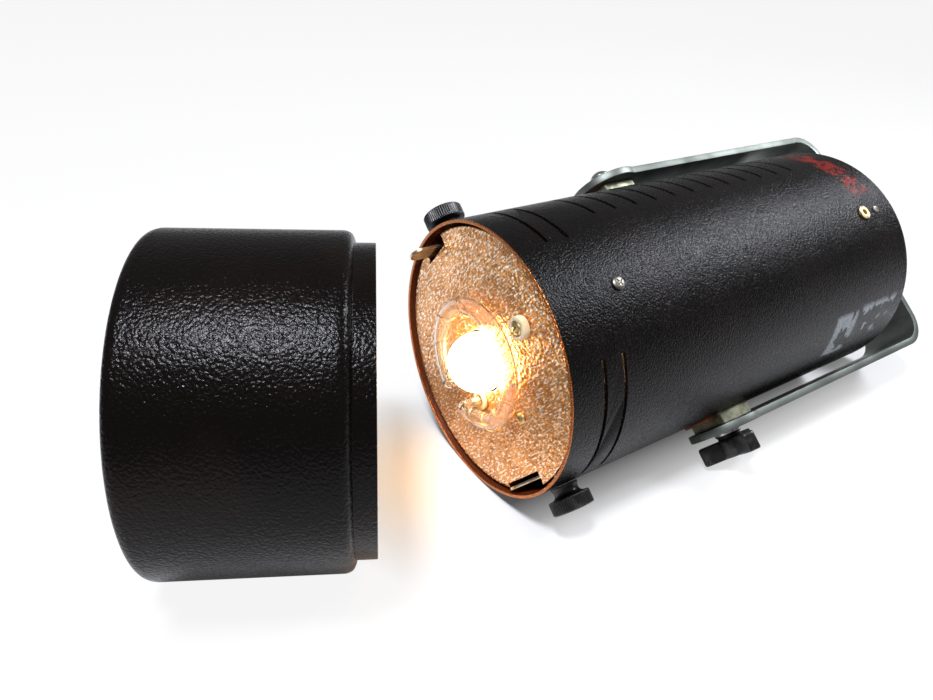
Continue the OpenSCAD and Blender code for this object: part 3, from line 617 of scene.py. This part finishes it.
glass, shader = new_finish("clear_borosilicate", "#FFF6E8", 0.03, Transmission_Weight=0.96, IOR=1.47)
haze = spots(glass, 6, 0.4, 0.8, 4.0)
feed(glass, shader, "Roughness", ramp(glass, haze, 0.0, 1.0, 0.01, 0.05))
finishes = {
    "tube_coat": tube_coat, "hood_coat": hood_coat, "panel_coat": panel_coat,
    "hammered_aluminium": gold_painted_plate,
    "yoke_aluminium": yoke_metal, "chassis_zinc": chassis_zinc, "bright_screws": screw_steel,
    "block_zinc": block_zinc, "tab_steel": tab_steel, "black_knobs": knob_black, "black_plastic": case_black,
    "red_plastic": red_plastic, "amber_lens": amber, "clear_glass": glass, "lit_glass": lit,
    "ceramic": ceramic, "fibre": fibre, "copper_wire": copper, "socket_brass": brass,
    "capacitor_sleeve": sleeve, "core_iron": core_iron, "winding": winding, "board_green": board,
}
slots = {part["node"]: part["material_slot"] for part in frame["record"]["subparts"]}
for name, node in nodes.items():
    node.data.materials.clear()
    node.data.materials.append(finishes[slots[name]])
print(f"{len(finishes)} finishes, on {len(nodes)} CAD nodes")

# %% [markdown]
# ## Softened copies
#
# Many metal pieces have the right shape in the CAD model and want only their edges broken. A copy of
# the node's mesh is merged, its flat faces are joined again, and every sharp edge gets a narrow bevel.

# %% Softened copies
def softened(name, node, width_mm):
    """A copy of a CAD node whose edges sharper than 32 degrees carry a bevel of that width."""
    source = nodes[node]
    mesh = source.data.copy()
    mesh.name = name
    mesh.materials.clear()
    work = bmesh.new()
    work.from_mesh(mesh)
    bmesh.ops.remove_doubles(work, verts=work.verts, dist=5e-6)
    bmesh.ops.dissolve_limit(work, angle_limit=math.radians(0.2), verts=work.verts, edges=work.edges)
    sharp = 32
    edges = [e for e in work.edges if len(e.link_faces) == 2 and e.calc_face_angle() > math.radians(sharp)]
    bmesh.ops.bevel(
        work, geom=edges, offset=width_mm * MM, segments=2, profile=0.6, affect="EDGES", clamp_overlap=True
    )
    written(work, mesh, sharp)
    return add_piece(name, mesh, finishes[slots[node]], source["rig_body"], [node])


def straight_normals(piece):
    """Turns the shading normals on a tube's outer wall straight out from its axis: the faces between
    two slots are long and thin, and plain smoothing would leave ripples on them."""
    mesh = piece.data
    corners = read(mesh.corner_normals, "vector")
    index = np.zeros(len(mesh.loops), int)
    mesh.loops.foreach_get("vertex_index", index)
    out = read(mesh.vertices, "co")[index] * (0, 1, 1)
    radius = np.linalg.norm(out, axis=1, keepdims=True)
    straight = out / np.maximum(radius, 1e-6)
    wall = (radius[:, 0] > (TUBE_R - 0.06) * MM) & ((corners * straight).sum(1) > 0.75)
    mesh.normals_split_custom_set(np.where(wall[:, None], straight, corners).tolist())

# %% [markdown]
# ## The hood
#
# The hood is a spun steel drum. A short collar slips into the head's mouth, a bead and a shoulder stop
# it there, and a narrower lip at the front takes a filter ring. It is a profile turned on its own
# axis: up the outside, down the inside one sheet thickness in, and closed at both rims.

# %% The hood
def closed(profile):
    """The profile with its first point again at its end."""
    return np.concatenate([profile, profile[:1]])


LIP_R = 72.5
hood_out = [
    (73, 0), (73, 9.4), (74.5, 9.4), (77.3, 10.6), (78.5, 13.4), (78.5, 93), (77.3, 95.8), (74.5, 97),
    (LIP_R, 97), (LIP_R, 103.5),
]
hood_in = [
    (71.2, 103.5), (71.2, 95.7), (73.2, 95.7), (76, 94.5), (77.2, 91.7), (77.2, 14.7), (76, 11.9),
    (73.2, 10.7), (71.7, 10.7), (71.7, 0),
]
radii = [0.5, 0.6, 0.7, 2.0, 2.4, 2.4, 2.0, 0.9, 0.6, 0.5, 0.5, 0.6, 0.7, 1.4, 1.8, 1.8, 1.4, 0.7, 0.6, 0.5]
hood_yaw = math.radians(153)
hood_axis = np.array((math.cos(hood_yaw), math.sin(hood_yaw), 0.0))
hood_place = place((-63, -7, 3.5), hood_axis, (0, 0, 1))


def filter_gap(points):
    """Lowers the front lip to a stub where the filter slides in: the lip ends at a plane that leans back
    by 0.37 of the distance towards the open side, and never drops below 0.6 mm."""
    facing = math.radians(-52.7)
    towards = points[..., 0] * math.cos(facing) + points[..., 1] * math.sin(facing)
    height = points[..., 2]
    stub = 97.6
    limit = np.maximum(stub, stub + (0.42 * LIP_R - towards) * 0.37)
    lowered = points.copy()
    lowered[..., 2] = np.where(height > 97.2, np.minimum(height, limit), height)
    return lowered


profile = closed(rounded(hood_out + hood_in, radii, 5, closed=True))
drum = mesh_of("hood_drum", [turned(profile, hood_place, 360, bend=filter_gap)], 50)
add_piece("hood_drum", drum, hood_coat, "hood", ["hood_shell"])

# %% [markdown]
# ## The hammered plate
#
# The plate is embossed sheet: long soft blisters 2.5 to 5.5 mm apart, which throw a glitter of small
# mirror images of the bulb. Bumps in the finish alone would leave its edge flat, so the sheet is a
# fine grid that really is dented. The blisters are noise passed through a band of wavelengths. The
# outline, with its centre hole and the two notches for the clamps, is a signed distance: cells outside
# are dropped, and the points left along the edge are slid onto it.

# %% The hammered plate
PLATE_R, HOLE_R, PLATE_X, SHEET = 71.2, 17.0, 2.5, 1.2


def slab(y, z, low, high, edge, side):
    """Signed distance to a notch from edge outwards on one side, between heights low and high."""
    return np.maximum(edge - side * y, np.maximum(low - z, z - high))


def plate_distance(y, z):
    """Signed distance to the plate, below 0 inside: the disc less the hole and the notches."""
    r = np.hypot(y, z)
    notches = [-slab(y, z, -10, 12.5, 63.8, 1), -slab(y, z, -28, 5.8, 63.8, -1)]
    return np.maximum.reduce([r - PLATE_R, HOLE_R - r, *notches])


def blisters(count, step, wave, stretch, seed):
    """Noise in waves about as long as given, in mm, drawn out along one axis, from -1 to 1: random
    numbers through a ring-shaped window over their frequencies."""
    random = np.random.default_rng(seed).normal(size=(count, count))
    f = np.fft.fftfreq(count, step)
    radius = np.hypot(f[:, None] * stretch[0], f[None, :] * stretch[1])
    window = np.exp(-(((radius - 1 / wave) * wave / 0.42) ** 2))
    field = np.fft.ifft2(np.fft.fft2(random) * window).real
    return np.tanh(0.95 * field / field.std())


def hammered(step=0.62):
    """The plate's points and the cells kept: x is the sheet's front face, y and z its grid."""
    line = np.arange(-PLATE_R - step, PLATE_R + 2 * step, step)
    y, z = np.meshgrid(line, line, indexing="ij")
    centre = plate_distance(y[:-1, :-1] + step / 2, z[:-1, :-1] + step / 2) < 0
    used = np.zeros(y.shape, int)
    for dy in (0, 1):
        for dz in (0, 1):
            used[dy : len(line) - 1 + dy, dz : len(line) - 1 + dz] += centre
    tiny = 1e-3
    for _ in range(3):
        d = plate_distance(y, z)
        gy = (plate_distance(y + tiny, z) - plate_distance(y - tiny, z)) / (2 * tiny)
        gz = (plate_distance(y, z + tiny) - plate_distance(y, z - tiny)) / (2 * tiny)
        move = np.where((used > 0) & (used < 4), d, 0)
        y, z = y - move * gy, z - move * gz
    small = blisters(len(line), step, 2.5, (1.25, 0.75), 7)
    bump = 0.7 * small + 0.3 * blisters(len(line), step, 5.5, (1, 0.8), 8)
    edge = np.clip(-plate_distance(y, z) / 2.5, 0, 1)
    flat = np.minimum.reduce([np.hypot(y - a, z - b) for a, b in ((0, 47), (13.4, -36.8))])
    near = np.clip((flat - 4) / 3, 0, 1)
    x = PLATE_X + 0.36 - 0.34 * bump * (0.35 + 0.65 * edge) * near
    x = np.where(near < 1, np.maximum(x, PLATE_X + 0.02), x)
    return x, y, z, centre


x, y, z, kept = hammered()
points = (x[..., None] * REAR + y[..., None] * UPPER + z[..., None] * TOP) * MM
number = np.arange(x.size).reshape(x.shape)
cells = np.stack([number[:-1, :-1], number[:-1, 1:], number[1:, 1:], number[1:, :-1]], -1)[kept]
used, cells = np.unique(cells, return_inverse=True)
mesh = bpy.data.meshes.new("hammered_plate")
mesh.from_pydata(points.reshape(-1, 3)[used].tolist(), [], cells.reshape(-1, 4).tolist())
cleaned(mesh, 60)
if read(mesh.polygons, "normal")[:, 0].mean() > 0:
    mesh.flip_normals()
plate = add_piece("hammered_plate", mesh, gold_painted_plate, "head", ["reflector_plate"])
wall = plate.modifiers.new("sheet", "SOLIDIFY")
wall.thickness, wall.offset = SHEET * MM * 0.92, -1

# %% [markdown]
# ## The bulb and the ring flash tube
#
# The bulb is a frosted globe on a short neck, turned as one profile. Round it runs the flash tube: a
# ring of clear glass with closed ends, from which two thinner legs go back through ceramic bushes in
# the plate. A metal electrode sits in each end. The glass is hollow, because a solid rod would act as
# a strong lens.

# %% The bulb
t = np.radians(np.linspace(0, 133, 40))
globe = 16 * np.stack([np.sin(t), -np.cos(t)], -1)
neck = rounded([globe[-1], (11.4, 14.5), (11.0, 24), (11.0, 36.2), (0, 36.2)], [0, 3, 6, 0.8, 0], 6)
bulb_place = place((0, 0, 0), REAR, TOP)
bulb = mesh_of("globe_bulb", [turned(np.concatenate([globe, neck[1:]]), bulb_place, 96)])
add_piece("globe_bulb", bulb, lit, "head", ["modelling_bulb"])


# %% The ring flash tube
def head_points(x, radius, degrees):
    """Points in mm at these angles from the head's top towards its lower side."""
    x, radius, t = (np.asarray(part, float)[..., None] for part in (x, radius, np.radians(degrees)))
    return x * REAR + radius * (np.cos(t) * TOP + np.sin(t) * LOWER)


RING_X, RING_R, GLASS_R, GAP = -3.0, 31.5, 4.5, 165.0
beta = np.linspace(GAP + 17, GAP - 17 + 360, 181)
closing = np.sqrt(np.clip(1 - np.linspace(1, 0, 7) ** 2, 0, 1))
cap_run = np.linspace(0, 8.6, 7)
ring_path = head_points(RING_X, RING_R, np.concatenate([beta[0] - cap_run[::-1], beta, beta[-1] + cap_run]))
ring_radius = GLASS_R * np.concatenate([closing, np.ones(181), closing[::-1]])
glass_parts = [carried(ring_path, np.maximum(ring_radius, 0.05), REAR, 28)]
for side in (-1, 1):
    end = head_points(RING_X, RING_R - 2.4, GAP + side * 19)
    knee = head_points(RING_X - 0.2, 24.6, GAP + side * 28.5)
    foot = head_points(4.0, 23.7, GAP + side * 30)
    back = foot + REAR * 12.5
    leg = rounded([end, knee, foot, back], [0, 4.5, 1, 0], 8)
    glass_parts.append(carried(leg, 2.9, UPPER + 0.3 * TOP, 20))
ring = mesh_of("ring_flash_tube", glass_parts)
ring = add_piece("ring_flash_tube", ring, glass, "head", ["flash_tube"])
wall = ring.modifiers.new("glass_wall", "SOLIDIFY")
wall.thickness, wall.offset = 1.0 * MM, -1

electrodes = []
for side in (-1, 1):
    path = head_points(RING_X, RING_R, GAP + side * (15 + np.linspace(0, 12, 7)))
    electrodes.append(carried(path, [0.5, 0.9, 0.9, 1.9, 2.3, 2.3, 1.7], REAR, 20))
add_piece("flash_electrodes", mesh_of("flash_electrodes", electrodes), screw_steel, "head")

# %% [markdown]
# ## The trigger wire
#
# A fine wire starts under the screw of the ceramic insulator, is wound loosely round the ring, and
# fires the flash by raising the gas to a few thousand volts. Old ones work loose and stand off in
# loops. The path below is a helix round the glass whose turns spread and lift off here and there.

# %% The trigger wire
def wound(start, stop, turns, lift, seed):
    """A helix round the ring: at each angle the wire stands at glass radius plus its own, and lift times
    a slow positive wave adds slack. Returns the path and, for each point, the direction to it."""
    t = np.linspace(0, 1, int(abs(turns) * 26))
    along = np.radians(start + (stop - start) * t)
    phase = np.random.default_rng(seed).uniform(0, 6.28, 3)
    slack = np.clip(np.sin(2.2 * turns * t + phase[0]) + 0.6 * np.sin(5.3 * turns * t + phase[1]) - 0.7, 0, 2)
    turn = 2 * math.pi * turns * t + 0.8 * np.sin(9 * t + phase[2])
    away = np.cos(along)[:, None] * TOP + np.sin(along)[:, None] * LOWER
    side = np.cos(turn)[:, None] * away - np.sin(turn)[:, None] * REAR
    reach = (GLASS_R + 0.3 + lift * slack)[:, None]
    return RING_X * REAR + RING_R * away + reach * side, side


def loop(points_xrb, count=60):
    """A smooth open curve through points given as (x, radius, degrees) on the head."""
    p = head_points(*np.transpose(points_xrb))
    t = np.linspace(0, 1, count) * (len(p) - 1)
    padded = np.concatenate([2 * p[:1] - p[1:2], p, 2 * p[-1:] - p[-2:-1]])
    k = np.clip(t.astype(int), 0, len(p) - 2)
    f = (t - k)[:, None]
    a, b, c, d = (padded[k + i] for i in range(4))
    return 0.5 * (2 * b + (c - a) * f + (2 * a - 5 * b + 4 * c - d) * f**2 + (3 * b - a - 3 * c + d) * f**3)


WIRE = 0.22
path, side = wound(185, 360 - 2, 5, 0.5, 3)
wires = [carried(path, WIRE, side, 6)]
path, side = wound(362, 505, 6, 0.9, 5)
wires.append(carried(path, WIRE, side, 6))
strands = [
    [(-7.8, 31.5, 0), (-6.6, 37.5, 1), (-3.6, 42, 1.5), (-2.2, 45, 1)],
    [(-2.3, 45, 3), (-5, 42, 9), (-8.6, 37, 12), (-9.4, 31, 5), (-8.2, 27, -4)],
    [(-8.0, 30, 22), (-10.8, 26, 34), (-10.4, 26, 47), (-6.5, 33, 54), (-2.6, 38.4, 60)],
    [(-8.1, 33, 96), (-9.8, 30.4, 106), (-9.6, 30, 120), (-8.0, 32, 131)],
    [(-8.2, 33, 300), (-9.4, 36, 309), (-9.0, 34.5, 316), (-8.0, 30, 320)],
]
wires += [carried(loop(points), WIRE, REAR + 0.2 * TOP, 6) for points in strands]
wires = mesh_of("loose_trigger_wire", wires)
add_piece("loose_trigger_wire", wires, copper, "head", ["trigger_wire"])

# %% [markdown]
# ## Thumbscrews
#
# Each clamp is tightened from outside by a black knurled thumbscrew on a waisted neck. The knurl is a
# ripple in the lathe shape's radius: 54 teeth, which fade out at the chamfers.

# %% Thumbscrews
def thumbscrew(node, out):
    """A waisted neck and a knurled head with a dished top, turned about its own axis."""
    waist = [(4.2, 75.35), (7.4, 75.35), (7.4, 76.3), (6.7, 77.6), (6.6, 79.2), (7.3, 80.7), (9.6, 81.45)]
    head = [(11.0, 81.45), (11.3, 82.1), (11.3, 88.1), (10.6, 88.8), (8.6, 88.8), (7.8, 88.35), (0, 88.35)]
    radii = [0, 0, 0.2, 0.8, 1, 1, 1, 0.3, 0.2, 0.25, 0.25, 0.5, 0.4, 0.3, 0]
    base = rounded([(0, 75.35), *waist, *head], radii, 4)
    rows = [base[base[:, 1] < 82.3], np.stack([np.full(7, 11.3), np.linspace(82.4, 87.9, 7)], -1)]
    profile = np.concatenate([*rows, base[base[:, 1] > 88.05]])

    def teeth(angle, radius, height):
        inside = np.clip((height - 81.5) / 0.9, 0, 1) * np.clip((88.7 - height) / 0.8, 0, 1) * (radius > 10)
        return -0.42 * inside * (0.5 + 0.5 * np.cos(54 * angle)) ** 1.4

    shape = turned(profile, on_head(CLAMP_X, out), 54 * 8, teeth)
    name = "knurled_" + node
    add_piece(name, mesh_of(name, [shape], 50), knob_black, node, [node])


thumbscrew("thumbscrew_upper", UPPER)
thumbscrew("thumbscrew_lower", LOWER)

# %% [markdown]
# ## Sheet and bar
#
# The tube, its cap, the yoke, the clamp tabs and the pivot blocks have their true shapes already. They
# get broken edges: wide on the cast blocks and the bar, narrow on the punched slots of the tube.

# %% Sheet and bar
straight_normals(softened("slotted_tube", "tube_shell", 0.25))
straight_normals(softened("rolled_rear_cap", "rear_cap", 0.3))
for name, node, width in (
    ("bent_yoke", "yoke", 0.7), ("tab_upper", "clamp_tab_upper", 0.3), ("tab_lower", "clamp_tab_lower", 0.3),
    ("cast_block_upper", "pivot_block_upper", 0.6), ("cast_block_lower", "pivot_block_lower", 0.6),
    ("pressed_fibre_pads", "fibre_pads", 0.4), ("ground_tilt_washer", "tilt_washer", 0.2),
    ("ground_bolt_washer", "pivot_bolt_washer", 0.2), ("steatite_insulator", "trigger_insulator", 0.5),
    ("steatite_bushes", "electrode_bushes", 0.5),
):
    softened(name, node, width)

# %% [markdown]
# ## Screws
#
# A pan head is a low dome with a cross sunk into it. The dome is turned with closely spaced rings
# near its middle, and a bend then pushes down the points that lie inside the cross.

# %% Screws
def cross_recess(size, depth, turn):
    """A bend that sinks a cross: a point whose smaller distance to the two arms' lines is under a sixth
    of size goes down by depth, tapering to nothing over the last tenth of an arm."""
    def bend(points):
        c, s = math.cos(turn), math.sin(turn)
        a = np.abs(points[..., 0] * c + points[..., 1] * s)
        b = np.abs(points[..., 1] * c - points[..., 0] * s)
        width = np.clip((size / 6 - np.minimum(a, b)) / (size * 0.05), 0, 1)
        length = np.clip((size - np.maximum(a, b)) / (size * 0.3), 0, 1)
        sunk = points.copy()
        sunk[..., 2] -= depth * width * length
        return sunk
    return bend


def pan_head(where, radius, low, high, turn):
    """A pan head between two heights: a dome whose height falls with the fourth power of the radius."""
    r = np.concatenate([np.linspace(0, 0.72, 22), [0.8, 0.88, 0.94, 0.98, 1.0]])
    dome = np.stack([radius * r, high - 0.5 * (high - low) * r**4], -1)
    profile = np.concatenate([dome, [(radius, low + 0.15), (radius - 0.15, low), (0, low)]])
    return turned(profile, where, 96, bend=cross_recess(0.62 * radius, 0.45 * (high - low), turn))


def shank(where, radius, low, high):
    """The plain part of a screw, closed at both ends."""
    return turned([(0, low), (radius, low), (radius, high), (0, high)], where, 32)


def screws(name, node, parts, finish=screw_steel):
    """One piece from several screw shapes, in place of a node."""
    add_piece(name, mesh_of(name, parts, 42), finish, nodes[node]["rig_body"], [node])


parts = []
for degrees in (45, 135, 225, 315):
    corner = round_axis(PANEL_X, 59.4, degrees)
    parts += [pan_head(corner, 3.0, 0.05, 1.8, degrees), shank(corner, 1.5, -7, 0.2)]
screws("pan_screws_on_panel", "panel_screws", parts)
front, rear = on_head(42.4, TOP), on_head(259.4, TOP)
screws("pan_screws_on_top", "top_screws", [
    pan_head(front, 3.4, 75.02, 76.6, 0.5), shank(front, 1.5, 70, 75.1),
    pan_head(rear, 2.6, 75.02, 76.2, 0.9), shank(rear, 1.5, 70, 75.1),
], dull_steel)
sides = [on_head(154.2, out) for out in (UPPER, LOWER)]
heads = [pan_head(side, 2.9, 75.02, 77.4, 0.2) for side in sides]
screws("pan_screws_on_blocks", "pivot_block_screws", heads + [shank(side, 1.5, 70, 75.1) for side in sides])
plate_hole = round_axis(PLATE_X, 39.2, 70)
screws("plate_cross_screw", "plate_screw", [
    pan_head(turned_over(plate_hole), 2.8, 0.02, 1.8, 0.7), shank(plate_hole, 1.25, -0.1, 9.2),
], gilt_steel)
seat = round_axis(0, 47, 0)
screws("insulator_cross_screw", "insulator_screw", [
    pan_head(turned_over(seat), 3.4, 0.35, 2.4, 0.3), shank(seat, 1.5, -1.0, 9.7),
], gilt_steel)

# %% [markdown]
# ## Pivots
#
# The upper arm turns on a bright hexagon bolt with a domed head. The lower arm is locked by a black
# wing knob: a waisted hub with three square-cut lobes, one of which points nearly to the rear.

# %% Pivots
def hexagon(angle, height):
    """The radius of a hexagon 12.9 mm across its flats, at each angle: half the width over the cosine of
    the angle to the nearest flat."""
    to_flat = np.mod(angle, math.pi / 3) - math.pi / 6
    return 6.44 / np.cos(to_flat) + 0 * height


bolt = on_head(PIVOT_X, UPPER)
head = [(87.57, 0.35), (87.8, 0.0), (91.0, 0.0), (91.5, 0.5)]
t = np.linspace(0, 1.02, 16)
dome = np.stack([8 * np.sin(t), 87.1 + 8.45 * np.cos(t)], -1)
dome_profile = rounded(np.concatenate([dome, [(6.6, 90.9), (0, 90.9)]]), 0.2, 2)
screws("domed_pivot_bolt", "pivot_bolt", [
    risen(hexagon, head, bolt, 180), turned(dome_profile, bolt, 72), shank(bolt, 4, 60.5, 88.4),
])


def wing(angle, height):
    """The knob's outline: for each lobe the shorter of its reach and its half width over the sine of the
    angle to it, rounded together by a power mean, and never less than the hub."""
    r = 9.0 + 0 * angle * height
    for lobe in range(3):
        off = np.mod(angle - math.radians(120 * lobe - 15) + math.pi, 2 * math.pi) - math.pi
        flank = 4.5 / np.maximum(np.abs(np.sin(off)), 0.05)
        blunt = (20.2**-8.0 + flank**-8.0) ** (-1 / 8.0)
        r = np.where(np.abs(off) < 1.2, np.maximum(r, blunt), r)
    return r


knob = on_head(PIVOT_X, LOWER)
levels = [
    (90.25, 1.2), (90.5, 0.5), (91.1, 0.1), (92, 0.0), (99.8, 0.0), (100.7, 0.2), (101.1, 0.7), (101.25, 1.4),
]
waist = rounded([(0, 87.67), (7.8, 87.67), (7.8, 88.1), (6.7, 89.0), (7.6, 90.6), (0, 90.6)], 0.5, 4)
parts = [risen(wing, levels, knob, 540), turned(waist, knob, 72)]
screws("wing_knob_moulding", "wing_knob", parts, knob_black)

# %% [markdown]
# ## The sync socket
#
# The socket for the sync lead is a plated barrel with a ring nut, whose four slots take a spanner. It
# is turned with its bore, so that a plug really fits.

# %% The sync socket
def slotted(points):
    """Cuts four slots across the nut: points near either axis sink by 0.7 mm at the top."""
    a = np.minimum(np.abs(points[..., 0]), np.abs(points[..., 1]))
    sunk = points.copy()
    sunk[..., 2] -= 0.7 * np.clip((0.75 - a) / 0.15, 0, 1) * (points[..., 2] > 75.8)
    return sunk


jack = on_head(246, TOP)
nut = closed(rounded([(3.5, 75.03), (4.2, 75.03), (4.2, 76.4), (3.5, 76.4)], 0.15, 3, closed=True))
screws("slotted_ring_nut", "sync_nut", [turned(nut, jack, 144, bend=slotted)], tab_steel)
barrel = [(1.8, 61.6), (3.4, 61.6), (3.4, 76.6), (1.8, 76.6)]
flange = [(3.0, 69.9), (5.0, 69.9), (5.0, 73.3), (3.0, 73.3)]
foot = [(0, 60.1), (3.4, 60.1), (3.4, 61.8), (0, 61.8)]
screws("threaded_sync_barrel", "sync_socket", [
    turned(closed(rounded(barrel, 0.25, 3, closed=True)), jack, 72), turned(foot, jack, 72),
    turned(closed(np.array(flange)), jack, 72),
], gilt_steel)

# %% [markdown]
# ## The control panel
#
# The photograph doesn't show the rear. The panel carries what such a head needs, drawn in the style of
# its time: two rockers in bezels, a fluted knob with a pointer and a plain dial, a test button in a
# bright collar, an amber ready lamp, a fuse, and a gland for the mains lead.

# %% The control panel
def at_panel(y, z):
    """A place on the panel at mm towards the head's upper side and its top, with z along the head."""
    return place(REAR * PANEL_X + UPPER * y + TOP * z, REAR, -TOP)


def bar(where, length, width, low, high):
    """A small bar with rounded corners, from the outline of a rounded rectangle."""
    def outline(angle, height):
        c, s = np.abs(np.cos(angle)) + 1e-6, np.abs(np.sin(angle)) + 1e-6
        return ((2 * c / length) ** 8 + (2 * s / width) ** 8) ** -0.125 + 0 * height
    return risen(outline, [(low, 0.12), (low + 0.1, 0), (high - 0.2, 0), (high, 0.2)], where, 48)


DIAL = (28, 22)
output = at_panel(*DIAL)


def flutes(angle, radius, height):
    """Twenty-four shallow flutes on the knob's body."""
    inside = np.clip((height - 6.4) / 0.8, 0, 1) * np.clip((13.9 - height) / 0.8, 0, 1) * (radius > 10.8)
    return -0.5 * inside * (0.5 + 0.5 * np.cos(24 * angle)) ** 0.7


body = [(0, 3.45), (13, 3.45), (13, 5.6), (12.4, 6.0), (11.5, 6.2), (11.5, 13.6), (10.9, 14.0), (0, 14.0)]
body = rounded(body, [0, 0.2, 0.5, 0.3, 0.3, 0.5, 0.4, 0], 3)
column = np.stack([np.full(8, 11.5), np.linspace(6.6, 13.0, 8)], -1)
body = np.concatenate([body[body[:, 1] < 6.5], column, body[body[:, 1] > 13.05]])
screws("fluted_output_knob", "output_knob", [
    turned(body, output, 288, flutes), shank(output, 3, -11.8, 10), bar(output, 21.5, 2.6, 5.2, 15.4),
], knob_black)
marks = []
for i in range(11):
    turn_to = math.radians(-135 + 27 * i)
    away = math.cos(turn_to) * TOP + math.sin(turn_to) * UPPER
    radius, length = (16.6, 2.4) if i % 5 else (17.1, 3.4)
    marks.append(bar(place(output[0] + away * radius, REAR, away), length, 0.7, -0.02, 0.12))
dial_paint = moulded("dial_paint", "#D9D7CE", "#B9B6AC", 0.5)
add_piece("output_dial_marks", mesh_of("output_dial_marks", marks), dial_paint, "head")

button = at_panel(-20, 2)
cap = rounded([(0, -4), (5, -4), (5, 3.2), (4.4, 3.8), (3.2, 3.8), (0, 3.3)], [0, 0.2, 0.5, 0.4, 1, 0], 4)
screws("dished_test_button", "test_button", [turned(cap, button, 64)], red_plastic)
ready = at_panel(4, 4)
t = np.linspace(0.05, 1.57, 14)
lens_shape = [(0, -8), (3, -8), (3, 0.05), (4.4, 0.05), (4.4, 0.9), (4.1, 1.2), (3, 1.2)]
lens_shape = np.concatenate([lens_shape, np.stack([3 * np.cos(t), 1.2 + 3 * np.sin(t)], -1)])


def facets(angle, radius, height):
    """Sixteen fine ribs on the lens."""
    return -0.12 * (height > 1.3) * np.clip(radius / 3, 0, 1) * (0.5 + 0.5 * np.cos(16 * angle))


screws("ribbed_ready_lens", "ready_lamp", [turned(lens_shape, ready, 128, facets)], amber)
for name, node, width in (
    ("panel_sheet", "rear_panel", 0.25), ("power_rocker_cap", "power_rocker", 0.6),
    ("lamp_rocker_cap", "lamp_rocker", 0.6), ("rocker_bezels", "switch_frames", 0.45),
    ("bright_button_collar", "button_collar", 0.3), ("fuse_holder_body", "fuse_holder", 0.4),
    ("slotted_fuse_cap", "fuse_cap", 0.35), ("lead_gland", "cord_gland", 0.5),
    ("threaded_output_bush", "output_control", 0.2), ("steel_core", "transformer_core", 0.5),
):
    softened(name, node, width)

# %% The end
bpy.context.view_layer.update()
